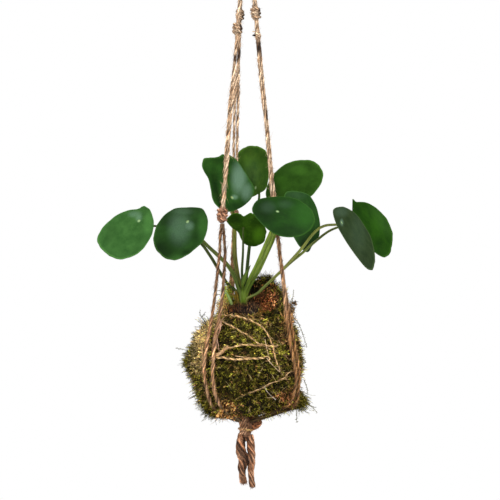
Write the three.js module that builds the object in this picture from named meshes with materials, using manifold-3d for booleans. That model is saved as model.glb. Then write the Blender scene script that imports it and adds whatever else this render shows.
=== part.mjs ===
// A leafy plant in a ball of moss, hung in a knotted jute hanger.
// Millimetres, +Z up, the front faces -Y. The origin is the inside top of the hanging loop,
// where a hook carries the plant.
// Inside this file every place is given from the middle of the moss ball: x to the right,
// y away from the viewer, z up. The whole group is then lowered by HOOK_TO_BALL.

import * as THREE from 'three';
import { mergeVertices } from 'three/addons/utils/BufferGeometryUtils.js';
import Module from 'manifold-3d';

// Overall sizes
const HOOK_TO_BALL = 472;       // from the hook down to the middle of the ball
const BALL_SIDE = 54.5;         // half the ball's usual width
const BALL_DEPTH = 53.5;        // half its depth, front to back
const WRAP_INSIDE = 45.3;       // inner radius of the moss wrap
const SOIL_RADIUS = 44.1;       // the soil inside it
const GAP = 0.35;               // clearance between neighbouring solids

// The opening in the wrap, where the stem comes out
const OPENING_AXIS = [-3, -12, 58];
const OPENING_ANGLE = 17;       // half angle, in degrees
const SOIL_TOP = 59;            // how far the bare soil stands above the ball's middle

// Lumps of the moss: the direction of each, how high it stands and how wide it is, in degrees
const MOSS_LUMPS = [
  { at: [22, 32, 84], rise: 35, spread: 24 },    // mound behind the stem
  { at: [42, 8, 38], rise: 4, spread: 16 },      // right shoulder
  { at: [56, -4, -45], rise: 12, spread: 14 },   // tuft at the lower right corner
  { at: [-36, -6, -48], rise: 7, spread: 18 },   // lower left corner
  { at: [-60, -8, 2], rise: 4, spread: 15 },     // left side
  { at: [-20, -46, -12], rise: 2, spread: 20 },  // front
  { at: [25, 50, -20], rise: 4, spread: 22 },    // back, right of the middle
  { at: [-30, 45, 15], rise: 3, spread: 20 },    // back, left of the middle
];

// Cords
const STRAND = 1.3;             // radius of one hanger strand
const STRAND_APART = 1.65;      // half the distance between the two strands of a leg
const TWINE = 0.9;              // radius of the binding twine
const TWINE_TUCK = 0.06;        // the second half of a turn is thinner by this, to end inside
const TWINE_EYE = 0.7;          // radius of the twine in the small loop at the front
const FACET_ROOM = 0.75;        // a flat facet of the ball or a straight step of a cord needs this
const KNOT_ROOM = 0.65;         // a cord that ends at a knot stands this clear of it
const TWINE_LIFT = GAP + TWINE + FACET_ROOM;
const SLING_LIFT = TWINE_LIFT + TWINE + GAP + STRAND + 0.5;

// The legs spread from one point above the gathering knot
const LEG_TOP = 454;            // height of that point above the ball's middle
const LEG_SPREAD = 0.119;       // how far a leg goes outward for each millimetre down
const GATHER_HIGH = 446;        // top of the gathering knot
const GATHER_LOW = 424;
const MIDDLE_KNOT = { height: 147, tall: 18, wide: 12 };

// Each leg: its bearing, how far its two slings part on the ball, the way the slings turn round
// the ball on their way down as [height, bearing], and the knots in it
const LEGS = [
  {
    name: 'left', bearing: -40, apart: 5.6,
    turns: [[141, -39], [110, -33.5], [60, -33.5], [15, -37.5], [-20, -39.5], [-35, -43],
      [-55, -52]],
    knots: [{ height: 333, tall: 13, wide: 11 }, MIDDLE_KNOT],
  },
  {
    name: 'back', bearing: 201, apart: 3.5,
    turns: [[141, 201], [-55, 201]],
    knots: [{ height: 347, tall: 11, wide: 8.5 }, MIDDLE_KNOT],
  },
  {
    name: 'right', bearing: 54, apart: 3,
    turns: [[141, 54], [110, 52], [60, 52.5], [15, 54], [-5, 57], [-20, 63], [-38, 70],
      [-55, 66]],
    knots: [{ height: 348, tall: 15, wide: 10.8 }, { height: 325, tall: 8, wide: 7.5 },
      MIDDLE_KNOT],
  },
];

// Stem crown: the short stem that every stalk grows from
const CROWN = { at: [-3, -9, 68], radius: 7, foot: 51 };
const STALK = 1.75;             // radius of a leaf stalk
const SHOOT_HOLE = 2.1;         // radius of the hole that the side shoot stands in
const BLADE = { middle: 1.1, rim: 0.7 };
const CAP_SINK = 7;             // a stalk turns square to its blade over this length

// Each leaf: middle of its blade, the way its upper face looks, its radius, where its stalk
// joins it as [x, z], how much it is cupped and folded, the side of the crown that the stalk
// leaves, and the places that the stalk passes.
const LEAVES = [
  {
    middle: [-120, 14, 129], faces: [-0.394, -0.755, 0.525], radius: 30.5, joint: [-107.5, 141],
    cup: 3, fold: 0, leaves: [-0.8, 0.25, 0.55],
    stalk: [[-16, -4, 77], [-24, -3, 84], [-32, -4, 100], [-43, -4, 119], [-66, 0, 134],
      [-91, 15, 136]],
  },
  {
    middle: [-65, -16, 128], faces: [-0.38, -0.79, 0.48], radius: 31, joint: [-58, 140],
    cup: 4, fold: 0, leaves: [-0.62, -0.45, 0.64],
    stalk: [[-13, -13, 80], [-18, -13, 92], [-28, -13, 105], [-43, -14, 121]],
  },
  {
    middle: [-17, 1, 180], faces: [0.56, -0.69, 0.45], radius: 31, joint: [-14, 164],
    cup: 4, fold: 5, leaves: [-0.25, 0.45, 0.86],
    stalk: [[-7, 0, 86], [-9, 9, 103], [-10, 14, 117], [-11, 12, 133], [-13, 6, 148]],
  },
  {
    middle: [7, 42, 189], faces: [-0.77, -0.63, 0.1], radius: 27, joint: [10, 175],
    cup: 3, fold: 0, leaves: [0.25, 0.75, 0.6],
    stalk: [[0, 6, 82], [1, 14, 92], [3.5, 26, 116], [8, 38, 145], [13, 43, 163]],
  },
  {
    middle: [48, 48, 179], faces: [-0.365, -0.68, 0.635], radius: 31, joint: [44, 166],
    cup: 3, fold: 0, leaves: [0.68, 0.36, 0.64],
    stalk: [[7, -3, 86], [13.5, 4, 100], [20, 14, 114], [28, 24, 130], [38, 35, 149]],
  },
  {
    middle: [37, -57, 143.5], faces: [0.15, -0.6, 0.78], radius: 31.8, joint: [31, 149.5],
    cup: 1.5, fold: 0, leaves: [0.35, -0.55, 0.76],
    stalk: [[3.5, -17, 82], [11, -25, 97], [20.5, -37, 119], [27, -45, 135]],
  },
  {
    middle: [58, 4.5, 141], faces: [0.84, -0.51, 0.17], radius: 31, joint: [54, 150],
    cup: 3, fold: 0, leaves: [0.72, -0.1, 0.69],
    stalk: [[7, -10, 82], [13, -10, 92], [20, -9, 107], [25.5, -6, 119], [30, -2, 129],
      [37, 2, 138], [44, 4.5, 145]],
  },
  {
    middle: [0, -6, 131], faces: [0.1, 0.8, 0.59], radius: 21, joint: [-2.5, 134],
    cup: 1.5, fold: 0, leaves: [-0.02, -0.12, 1],
    stalk: [[-4, -10, 90], [-3, -9, 110]],
  },
  {
    middle: [109, -12, 124], faces: [0.8, -0.36, 0.47], radius: 34, joint: [94.6, 139],
    cup: 3, fold: 0, leaves: [0.88, -0.4, 0.25],
    stalk: [[9, -13, 69], [20, -14, 79], [38, -16, 94], [54.5, -20, 112.5], [67.5, -20, 129],
      [78, -19, 136]],
  },
  {
    middle: [124, 34, 133.5], faces: [0.72, -0.56, 0.41], radius: 32.5, joint: [107, 140],
    cup: 3, fold: 0, leaves: [0.93, 0.3, 0.2],
    stalk: [[10, -5, 72], [20, -5, 80], [31, -6, 88], [45, -11, 100], [56, -15, 109], [66, -13, 118],
      [81.6, 3, 130], [94, 13, 137]],
  },
];

// The binding twine: each turn as [bearing, height] pairs round the ball. A bearing is in
// degrees from the front towards the right.
const TWINE_TURNS = [
  { closed: true, at: [[-56, 48], [-24, 47], [0, 44], [12, 41], [24, 35], [30, 21], [35, -2],
    [60, -22], [100, -36], [150, -34], [200, -16], [250, 16]] },
  { closed: true, at: [[-50, 43], [-30, 40], [-6, 32], [5, 26], [17, 19], [45, 8], [80, -6],
    [130, -12], [180, 4], [230, 24], [280, 40]] },
  { closed: true, at: [[-32, 10], [-20, 15], [0, 19], [17, 18], [39, 18], [70, 24], [110, 34],
    [160, 36], [210, 24], [260, 4], [300, 0]] },
  { closed: false, at: [[71, 12], [100, 10], [150, 14], [200, 10], [250, -10], [290, -8], [327, 5],
    [345, 4], [359, 4], [381, 5]] },
  { closed: true, at: [[66, -7], [50, -9], [42, -15], [29, -19], [18, -24], [-8, -33],
    [-30, -43], [-70, -44], [-120, -36], [-170, -24], [-220, -8], [-260, -4]] },
];

// The two rope tails under the bottom knot: radius and route, from the knot down
const TAILS = [
  {
    name: 'left', radius: 4,
    route: [[-4.2, 0, -70], [-4.5, -0.1, -73], [-4.9, -0.2, -76.5], [-5.2, -0.3, -80],
      [-5.3, -0.4, -83.5], [-5.2, -0.4, -87], [-4.9, -0.4, -90.5], [-4.5, -0.3, -94],
      [-4.1, -0.2, -97.5], [-4, -0.1, -101], [-4.1, 0, -104.5], [-4, 0.1, -108],
      [-3.6, 0.2, -111.5], [-3.1, 0.2, -115], [-2.7, 0.2, -118.5], [-2.5, 0.2, -121]],
  },
  {
    name: 'right', radius: 3.3,
    route: [[4, 0.2, -70], [4.1, 0.3, -73.5], [4.3, 0.4, -77], [4.6, 0.5, -80.5],
      [5, 0.5, -84], [5.3, 0.5, -87.5], [5.6, 0.4, -91], [5.7, 0.3, -94.5], [5.6, 0.2, -98],
      [5.3, 0.1, -101.5], [4.9, 0, -105], [4.8, -0.1, -108.5], [5.1, -0.1, -112],
      [5.6, -0.1, -115.5], [6, 0, -119], [6.2, 0.1, -122], [6.3, 0.1, -124.8]],
  },
];

const COLOURS = {
  leaf: [0.10, 0.27, 0.07],
  youngLeaf: [0.17, 0.36, 0.08],
  shoot: [0.45, 0.55, 0.22],
  crown: [0.20, 0.38, 0.10],
  moss: [0.22, 0.22, 0.06],
  soil: [0.06, 0.045, 0.03],
  jute: [0.58, 0.42, 0.26],
  twine: [0.68, 0.53, 0.31],
  rope: [0.42, 0.28, 0.17],
};

const wasm = await Module();
wasm.setup();

const DEGREE = Math.PI / 180;
const UP = new THREE.Vector3(0, 0, 1);
const point = (xyz) => new THREE.Vector3(...xyz);
const smooth = (low, high, value) => THREE.MathUtils.smoothstep(value, low, high);

// Joining and cutting

function solidOf(geometry) {
  const bare = geometry.clone();
  bare.deleteAttribute('normal');
  bare.deleteAttribute('uv');
  const welded = mergeVertices(bare);
  return new wasm.Manifold(new wasm.Mesh({
    numProp: 3,
    vertProperties: new Float32Array(welded.attributes.position.array),
    triVerts: new Uint32Array(welded.index.array),
  }));
}

function geometryOf(solid) {
  const mesh = solid.getMesh();
  const geometry = new THREE.BufferGeometry();
  geometry.setAttribute('position', new THREE.BufferAttribute(mesh.vertProperties, 3));
  geometry.setIndex(new THREE.BufferAttribute(mesh.triVerts, 1));
  return geometry;
}

function joined(geometries) {
  return geometryOf(geometries.map(solidOf).reduce((all, next) => all.add(next)));
}

function cut(geometry, tools) {
  return geometryOf(tools.map(solidOf).reduce((all, tool) => all.subtract(tool), solidOf(geometry)));
}

// A closed skin over a row of rings. A ring of one point is a pole. From the ring numbered
// mirrored onward the squares are split the other way, so that the two faces of a thin sheet
// are split alike.
function skin(rings, mirrored = Infinity) {
  const places = [];
  const starts = rings.map((ring) => {
    const start = places.length;
    places.push(...ring);
    return start;
  });
  const faces = [];
  for (let i = 0; i + 1 < rings.length; i += 1) {
    const sides = Math.max(rings[i].length, rings[i + 1].length);
    for (let j = 0; j < sides; j += 1) {
      const k = (j + 1) % sides;
      const a = starts[i] + (rings[i].length > 1 ? j : 0);
      const b = starts[i] + (rings[i].length > 1 ? k : 0);
      const c = starts[i + 1] + (rings[i + 1].length > 1 ? j : 0);
      const d = starts[i + 1] + (rings[i + 1].length > 1 ? k : 0);
      const split = i < mirrored ? [[a, c, d], [a, d, b]] : [[a, c, b], [b, c, d]];
      faces.push(...split.filter(([p, q, r]) => p !== q && q !== r && r !== p));
    }
  }
  let volume = 0;
  for (const [p, q, r] of faces) {
    volume += places[p].dot(places[q].clone().cross(places[r]));
  }
  const index = faces.flatMap(([p, q, r]) => (volume > 0 ? [p, q, r] : [p, r, q]));
  const geometry = new THREE.BufferGeometry().setFromPoints(places);
  geometry.setIndex(index);
  return geometry;
}

// A round tube along a curve
function tube(places, radius, sides, steps) {
  const section = new THREE.Shape();
  for (let i = 0; i < sides; i += 1) {
    const angle = 2 * Math.PI * i / sides;
    const [x, y] = [radius * Math.cos(angle), radius * Math.sin(angle)];
    if (i === 0) section.moveTo(x, y);
    else section.lineTo(x, y);
  }
  section.closePath();
  const path = new THREE.CatmullRomCurve3(places, false, 'centripetal');
  return new THREE.ExtrudeGeometry(section, { steps, extrudePath: path, bevelEnabled: false });
}

// A tube whose radius changes along it, closed to a point at both ends
function spindle(places, radiusAt, sides, steps) {
  const path = new THREE.CatmullRomCurve3(places, false, 'centripetal');
  const frames = path.computeFrenetFrames(steps, false);
  const rings = [[path.getPointAt(0)]];
  for (let i = 1; i < steps; i += 1) {
    const middle = path.getPointAt(i / steps);
    const radius = radiusAt(i / steps);
    rings.push(Array.from({ length: sides }, (_, j) => {
      const angle = 2 * Math.PI * j / sides;
      return middle.clone()
        .addScaledVector(frames.normals[i], radius * Math.cos(angle))
        .addScaledVector(frames.binormals[i], radius * Math.sin(angle));
    }));
  }
  rings.push([path.getPointAt(1)]);
  return skin(rings);
}

// The moss ball

const openingAxis = point(OPENING_AXIS).normalize();
const openingSide = new THREE.Vector3(1, 0, 0).cross(openingAxis).normalize();
const openingFront = openingAxis.clone().cross(openingSide);

function fromAxis(polar, turn) {
  return openingAxis.clone().multiplyScalar(Math.cos(polar * DEGREE))
    .addScaledVector(openingSide, Math.sin(polar * DEGREE) * Math.cos(turn * DEGREE))
    .addScaledVector(openingFront, Math.sin(polar * DEGREE) * Math.sin(turn * DEGREE));
}

function between(a, b) {
  return Math.acos(THREE.MathUtils.clamp(a.dot(b), -1, 1)) / DEGREE;
}

const lumps = MOSS_LUMPS.map((lump) => ({ ...lump, way: point(lump.at).normalize() }));

function mossRadius(way) {
  const across = Math.hypot(way.x, way.z) / BALL_SIDE;
  const deep = way.y / BALL_DEPTH;
  const polar = between(way, openingAxis);
  const clearOfOpening = smooth(OPENING_ANGLE + 2, OPENING_ANGLE + 13, polar);
  const ripple = Math.sin(5.1 * way.x + 3.3 * way.z + 1) * Math.sin(4.7 * way.y - 2.9 * way.z);
  let radius = 1 / Math.hypot(across, deep) + 1.3 * ripple;
  for (const lump of lumps) {
    radius += lump.rise * Math.exp(-((between(way, lump.way) / lump.spread) ** 2)) * clearOfOpening;
  }
  return radius;
}

function ringOf(polar, sides, radiusOf) {
  return Array.from({ length: sides }, (_, j) => {
    const way = fromAxis(polar, 360 * j / sides);
    return way.clone().multiplyScalar(radiusOf(way));
  });
}

function mossWrap() {
  const sides = 32;
  const outer = [178, 168, 158, 148, 138, 128, 118, 108, 98, 88, 78, 68, 58, 50, 43, 37, 31, 26,
    21.5, OPENING_ANGLE];
  const inner = [OPENING_ANGLE, 28, 45, 63, 81, 99, 117, 135, 153, 170];
  const inside = () => WRAP_INSIDE;
  const bottom = fromAxis(180, 0);
  return skin([
    [bottom.clone().multiplyScalar(mossRadius(bottom))],
    ...outer.slice(1).map((polar) => ringOf(polar, sides, mossRadius)),
    ...inner.map((polar) => ringOf(polar, sides, inside)),
    [bottom.clone().multiplyScalar(WRAP_INSIDE)],
  ]);
}

function soilBall(holes) {
  const sides = 24;
  const plug = [6, 12, OPENING_ANGLE - 0.7];
  const ball = [OPENING_ANGLE - 0.6, 32, 50, 70, 90, 110, 130, 150, 168];
  const bumpy = (way) => SOIL_TOP - 1.2 + 0.8 * Math.sin(40 * way.x + 31 * way.y);
  return cut(skin([
    [openingAxis.clone().multiplyScalar(SOIL_TOP)],
    ...plug.map((polar) => ringOf(polar, sides, bumpy)),
    ...ball.map((polar) => ringOf(polar, sides, () => SOIL_RADIUS)),
    [openingAxis.clone().multiplyScalar(-SOIL_RADIUS)],
  ]), holes);
}

// The place over the moss at a bearing and a height, lifted off it
function overMoss(bearing, height, lift) {
  let reach = BALL_SIDE;
  let way;
  for (let i = 0; i < 8; i += 1) {
    const tilt = Math.asin(THREE.MathUtils.clamp(height / reach, -0.98, 0.98));
    way = new THREE.Vector3(
      Math.cos(tilt) * Math.sin(bearing * DEGREE),
      -Math.cos(tilt) * Math.cos(bearing * DEGREE),
      Math.sin(tilt),
    );
    reach = mossRadius(way) + lift;
  }
  return way.multiplyScalar(reach);
}

function twineTurn({ closed, at }) {
  const flat = new THREE.CatmullRomCurve3(
    at.map(([bearing, height]) => new THREE.Vector3(bearing, height, 0)), false, 'centripetal');
  const route = [];
  const stops = 30;
  if (closed) {
    const turned = Math.sign(at.at(-1)[0] - at[0][0]) * 360;
    flat.points.push(new THREE.Vector3(at[0][0] + turned, at[0][1], 0));
  }
  for (let i = 0; i <= stops; i += 1) {
    const { x, y } = flat.getPointAt(i / stops);
    route.push(overMoss(x, y, TWINE_LIFT));
  }
  if (!closed) return [tube(route, TWINE, 4, stops)];
  const half = stops / 2;
  return [
    tube(route.slice(0, half + 1), TWINE, 4, half),
    tube(route.slice(half).concat([route[1].clone().lerp(route[0], 0.6)]), TWINE - TWINE_TUCK, 4, half),
  ];
}

function bindingTwine() {
  const knot = overMoss(21, 5, TWINE_LIFT);
  const out = knot.clone().normalize();
  const side = out.clone().cross(UP).normalize();
  const loop = [0, 1, 2, 3, 4, 5, 6].map((i) => {
    const angle = 2 * Math.PI * i / 6.4;
    return knot.clone()
      .addScaledVector(side, -2.6 + 2.6 * Math.cos(angle))
      .addScaledVector(UP, 2.4 * Math.sin(angle));
  });
  return joined([...TWINE_TURNS.flatMap(twineTurn), tube(loop, TWINE_EYE, 4, 8)]);
}

// Knots and legs

// A knot seen as wraps of cord, slanted, round a core
function wrappedKnot(middle, along, { tall, wide }, cord = 1.45, turns = 1.7, slant = 0.42) {
  const side = along.clone().cross(new THREE.Vector3(0, 1, 0)).normalize();
  const front = along.clone().cross(side);
  const reach = wide / 2 - cord;
  const steps = Math.round(turns * 7);
  const wraps = Array.from({ length: steps + 1 }, (_, i) => {
    const t = i / steps;
    const angle = 2 * Math.PI * turns * t;
    const rise = (t - 0.5) * (tall - 2.6 * cord) + slant * reach * Math.cos(angle);
    return middle.clone()
      .addScaledVector(side, reach * Math.cos(angle))
      .addScaledVector(front, reach * Math.sin(angle))
      .addScaledVector(along, rise);
  });
  const ends = [-0.5, -0.2, 0.2, 0.5].map((t) => middle.clone().addScaledVector(along, t * tall));
  const core = spindle(ends, (t) => Math.sin(Math.PI * t) ** 0.5 * (reach + 0.2), 6, 4);
  return joined([core, tube(wraps, cord, 4, steps)]);
}

function bearingOf(degrees) {
  return {
    outward: new THREE.Vector3(Math.sin(degrees * DEGREE), -Math.cos(degrees * DEGREE), 0),
    sideways: new THREE.Vector3(Math.cos(degrees * DEGREE), Math.sin(degrees * DEGREE), 0),
  };
}

const reachAt = (height) => LEG_SPREAD * (LEG_TOP - height);

function legPoint(leg, height) {
  return bearingOf(leg.bearing).outward.multiplyScalar(reachAt(height)).setZ(height);
}

function legSolid(leg) {
  const { sideways } = bearingOf(leg.bearing);
  const top = legPoint(leg, GATHER_LOW - GAP);
  const foot = legPoint(leg, MIDDLE_KNOT.height);
  const along = top.clone().sub(foot).normalize();
  const strands = [-1, 1].map((side) => {
    const places = [0, 0.2, 0.4, 0.6, 0.8, 1].map((t) => {
      const bow = 0.25 * Math.sin(9 * t + leg.bearing + side);
      return top.clone().lerp(foot, t).addScaledVector(sideways, side * STRAND_APART + bow * t);
    });
    return tube(places, STRAND, 6, 6);
  });
  const knots = leg.knots.map((knot) => wrappedKnot(legPoint(leg, knot.height), along, knot));
  return joined([...strands, ...knots]);
}

// Keeps the turns that bulge outward, as a taut cord does
function taut(profile) {
  const kept = [];
  for (const next of profile) {
    while (kept.length > 1) {
      const [a, b] = kept.slice(-2);
      const turn = (b.reach - a.reach) * (next.height - a.height)
        - (b.height - a.height) * (next.reach - a.reach);
      if (turn < 0) break;
      kept.pop();
    }
    kept.push(next);
  }
  return kept;
}

// The value at a height in a table of [height, value] that runs downward
function valueAt(table, height) {
  const found = table.findIndex(([at]) => at <= height);
  if (found === 0) return table[0][1];
  if (found < 0) return table.at(-1)[1];
  const [[high, above], [low, below]] = [table[found - 1], table[found]];
  return THREE.MathUtils.mapLinear(height, high, low, above, below);
}

// One sling strand: from the middle knot down, over the moss, and in under the ball
function slingRoute(leg, side) {
  const first = MIDDLE_KNOT.height - 6;
  const foot = { reach: 2, height: -66, aside: 1.8 };
  const asides = [[first, STRAND_APART], [100, 0.65 * leg.apart], [20, leg.apart],
    [-35, leg.apart], [-62, foot.aside]];
  const profile = [{ reach: reachAt(first), height: first }];
  for (let tilt = 62; tilt >= -78; tilt -= 4) {
    const rough = BALL_SIDE * Math.cos(tilt * DEGREE) + 1;
    const height = BALL_SIDE * Math.sin(tilt * DEGREE);
    const swing = Math.asin(Math.min(0.9, valueAt(asides, height) / rough)) / DEGREE;
    const { outward } = bearingOf(valueAt(leg.turns, height) + side * swing);
    const way = outward.multiplyScalar(Math.cos(tilt * DEGREE)).setZ(Math.sin(tilt * DEGREE));
    const radius = mossRadius(way) + SLING_LIFT;
    profile.push({
      reach: radius * Math.cos(tilt * DEGREE), height: radius * Math.sin(tilt * DEGREE),
    });
  }
  profile.push(foot);
  const line = new THREE.CurvePath();
  const flat = taut(profile).map(({ reach, height }) => new THREE.Vector2(reach, height));
  for (let i = 0; i + 1 < flat.length; i += 1) line.add(new THREE.LineCurve(flat[i], flat[i + 1]));
  const stops = 30;
  return Array.from({ length: stops + 1 }, (_, i) => {
    const { x: reach, y: height } = line.getPointAt(i / stops);
    const { outward, sideways } = bearingOf(valueAt(leg.turns, height));
    const aside = valueAt(asides, height);
    const forward = Math.sqrt(Math.max(reach ** 2 - aside ** 2, 1));
    return outward.multiplyScalar(forward).addScaledVector(sideways, side * aside).setZ(height);
  });
}

function trianglesOf(geometry) {
  const flat = geometry.index ? geometry.toNonIndexed() : geometry;
  const place = flat.attributes.position;
  return Array.from({ length: place.count / 3 }, (_, i) => new THREE.Triangle(
    new THREE.Vector3().fromBufferAttribute(place, 3 * i),
    new THREE.Vector3().fromBufferAttribute(place, 3 * i + 1),
    new THREE.Vector3().fromBufferAttribute(place, 3 * i + 2),
  ));
}

function distanceTo(triangles, place) {
  const nearest = new THREE.Vector3();
  return triangles.reduce(
    (best, t) => Math.min(best, t.closestPointToPoint(place, nearest).distanceTo(place)), Infinity);
}

// Shortens a route at its start, or with backward at its end, until the end of a tube of that
// radius stands clear of the knot
function shortened(route, radius, knot, backward) {
  const path = new THREE.CatmullRomCurve3(backward ? [...route].reverse() : route, false,
    'centripetal');
  const long = path.getLength();
  let gone = 0;
  for (let tried = 0; tried < 16; tried += 0.2) {
    const share = tried / long;
    const place = path.getPointAt(share);
    const along = path.getTangentAt(share);
    const side = along.clone().cross(new THREE.Vector3(0.3, 1, 0.2)).normalize();
    const other = along.clone().cross(side);
    const rim = [0, 1, 2, 3, 4, 5, 6, 7].map((i) => place.clone()
      .addScaledVector(side, radius * Math.cos(i * Math.PI / 4))
      .addScaledVector(other, radius * Math.sin(i * Math.PI / 4)));
    if ([place, ...rim].some((p) => distanceTo(knot, p) < KNOT_ROOM)) gone = tried + 0.2;
  }
  const count = Math.max(4, Math.ceil((long - gone) / 8));
  const kept = Array.from({ length: count + 1 },
    (_, i) => path.getPointAt(Math.min(1, (gone + (long - gone) * i / count) / long)));
  return backward ? kept.reverse() : kept;
}

// The bottom knot: the gathered cords, a fat fold on the right and a band round both
function bottomKnot() {
  const profile = [[0, -56.4], [4.5, -57], [7, -60], [7.4, -64], [7, -68.5], [5.2, -71.5],
    [0, -72.2]].map(([x, y]) => new THREE.Vector2(x, y));
  const lump = new THREE.LatheGeometry(profile.reverse(), 14).rotateX(Math.PI / 2);
  const fold = tube([[1, 0, -60.5], [8.5, -1, -60.5], [12, -1.5, -63.6], [8.5, -1, -67],
    [1, 0, -67.5]].map(point), 3.2, 8, 9);
  const ring = (from, to, middle, wide, deep, lean) => Array.from({ length: 9 }, (_, i) => {
    const angle = from + (to - from) * i / 8;
    const x = wide * Math.cos(angle);
    return new THREE.Vector3(middle[0] + x, deep * Math.sin(angle), middle[1] + lean * x);
  });
  const band = [[0, Math.PI, 0], [-Math.PI - 0.2, 0.2, 0.08]].map(([from, to, thinner]) => tube(
    ring(from, to, [1.6, -69], 8.2, 6.6, -0.12), 1.6 - thinner, 6, 8));
  const upper = [[0, Math.PI, 0], [-Math.PI - 0.2, 0.2, 0.08]].map(([from, to, thinner]) => tube(
    ring(from, to, [-0.6, -62.5], 6.6, 6.4, 0.3), 1.6 - thinner, 6, 8));
  return joined([lump, fold, ...band, ...upper]);
}

function gatheringKnot() {
  const middle = new THREE.Vector3(0, 0, (GATHER_HIGH + GATHER_LOW) / 2);
  const tall = GATHER_HIGH - GATHER_LOW;
  const profile = [[0, -0.5], [3.6, -0.5], [5, -0.42], [5.2, 0.42], [3.4, 0.5], [0, 0.5]]
    .map(([x, y]) => new THREE.Vector2(x, y * tall));
  const core = new THREE.LatheGeometry(profile, 14).rotateX(Math.PI / 2)
    .translate(0, 0, middle.z);
  const turns = 3;
  const steps = turns * 9;
  const coil = Array.from({ length: steps + 1 }, (_, i) => {
    const angle = 2 * Math.PI * turns * i / steps;
    const rise = (i / steps - 0.5) * (tall - 9);
    return new THREE.Vector3(5.3 * Math.cos(angle), 5.3 * Math.sin(angle), middle.z + rise);
  });
  return joined([core, tube(coil, 1.5, 5, steps)]);
}

function hangingLoop() {
  const low = GATHER_HIGH + GAP;
  const rope = 2;
  const route = [[-2.3, 0, low], [-2.5, 0, low + 1.5], [-5.4, 0, low + 7],
    [-7.6, 0, low + 14], [-7, 0, low + 20.5], [-3.6, 0, low + 26.2], [0, 0, HOOK_TO_BALL + rope], [3.6, 0, low + 26.2],
    [7, 0, low + 20.5], [7.6, 0, low + 14], [5.4, 0, low + 7], [2.5, 0, low + 1.5], [2.3, 0, low]];
  return tube(route.map(point), rope, 8, 22);
}

// The plant

function crownSolid(grow = 0) {
  const [x, y, z] = CROWN.at;
  const radius = CROWN.radius + grow;
  const neck = 4.6 + grow;
  const profile = [[0, CROWN.foot - z - grow], [neck, CROWN.foot - z - grow], [neck, -8.5]];
  for (const angle of [-50, -25, 0, 25, 50, 72]) {
    profile.push([radius * Math.cos(angle * DEGREE), radius * Math.sin(angle * DEGREE)]);
  }
  profile.push([0, radius]);
  return new THREE.LatheGeometry(profile.map((p) => new THREE.Vector2(...p)), 14)
    .rotateX(Math.PI / 2).translate(x, y, z);
}

// The edge of a blade, from the stalk's joint, in the blade's own plane. It is nearly round,
// drawn out a little at the tip.
function bladeEdge(angle, radius, offset) {
  const tip = 1 + 0.05 * Math.exp(-((Math.abs(angle > Math.PI ? angle - 2 * Math.PI : angle) / 0.3) ** 2));
  return new THREE.Vector2(offset + radius * tip * Math.cos(angle), radius * Math.sin(angle));
}

function leafSolid(leaf) {
  const face = point(leaf.faces).normalize();
  const middle = point(leaf.middle);
  const [jointX, jointZ] = leaf.joint;
  const dx = jointX - middle.x;
  const dz = jointZ - middle.z;
  const joint = new THREE.Vector3(jointX, middle.y - (face.x * dx + face.z * dz) / face.y, jointZ);
  const along = middle.clone().sub(joint);
  const offset = along.length();
  along.normalize();
  const across = face.clone().cross(along);
  const sides = 20;
  const shares = [0.36, 0.7, 1];
  const place = (share, j, half) => {
    const edge = bladeEdge(2 * Math.PI * j / sides, leaf.radius, offset).multiplyScalar(share);
    const out = (edge.length() / leaf.radius) ** 2;
    const bend = leaf.cup * out - leaf.fold * out * (edge.y < 0 ? 1 : -0.2);
    const thick = THREE.MathUtils.lerp(BLADE.middle, BLADE.rim, share) / 2;
    return joint.clone().addScaledVector(along, edge.x).addScaledVector(across, edge.y)
      .addScaledVector(face, bend + half * thick);
  };
  const ring = (share, half) => Array.from({ length: sides }, (_, j) => place(share, j, half));
  const blade = skin([
    [place(0, 0, 1)],
    ...shares.map((share) => ring(share, 1)),
    ...[...shares].reverse().map((share) => ring(share, -1)),
    [place(0, 0, -1)],
  ], shares.length + 1);
  const base = point(CROWN.at)
    .addScaledVector(point(leaf.leaves).normalize(), CROWN.radius + GAP - 0.05);
  const start = base.clone().addScaledVector(point(leaf.leaves).normalize(), 3);
  const route = [base, start, ...leaf.stalk.map(point),
    joint.clone().addScaledVector(face, -CAP_SINK), joint];
  return joined([blade, tube(route, STALK, 5, 12)]);
}

// A pointed leaf that is still rolled, and the small shoot beside it
const youngLeafRoute = [[-3.9, -13.6, 73.8], [-3, -16.5, 79], [-1.5, -17.5, 84], [1, -18, 90],
  [4.5, -18.5, 97]].map(point);
const sideShootRoute = [[-11.5, -14.5, 48], [-12.5, -15, 53], [-14, -15, 59],
  [-17, -15.5, 65], [-20.5, -16, 71], [-22, -17, 76]].map(point);

function youngLeaf() {
  return spindle(youngLeafRoute, (t) => 0.5 + 2.1 * Math.sin(Math.PI * t ** 0.8), 6, 7);
}

function sideShoot() {
  return spindle(sideShootRoute, (t) => 0.4 + 1.5 * Math.sin(Math.PI * t ** 0.9), 6, 7);
}

function shootHole() {
  return tube([[-11.2, -14.4, 47], [-12.5, -15, 53], [-14, -15, 59], [-16, -15.3, 63]].map(point),
    SHOOT_HOLE, 8, 4);
}

// The finished group

const plant = new THREE.Group();
plant.position.z = -HOOK_TO_BALL;

function add(name, geometry, colour, roughness) {
  const material = new THREE.MeshStandardMaterial({
    color: new THREE.Color(...COLOURS[colour]), roughness, metalness: 0,
  });
  const mesh = new THREE.Mesh(geometry, material);
  mesh.name = name;
  plant.add(mesh);
  return geometry;
}

add('hanging_loop', hangingLoop(), 'jute', 0.9);
add('gathering_knot', gatheringKnot(), 'jute', 0.9);
const bottom = trianglesOf(add('bottom_knot', bottomKnot(), 'rope', 0.9));

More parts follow.
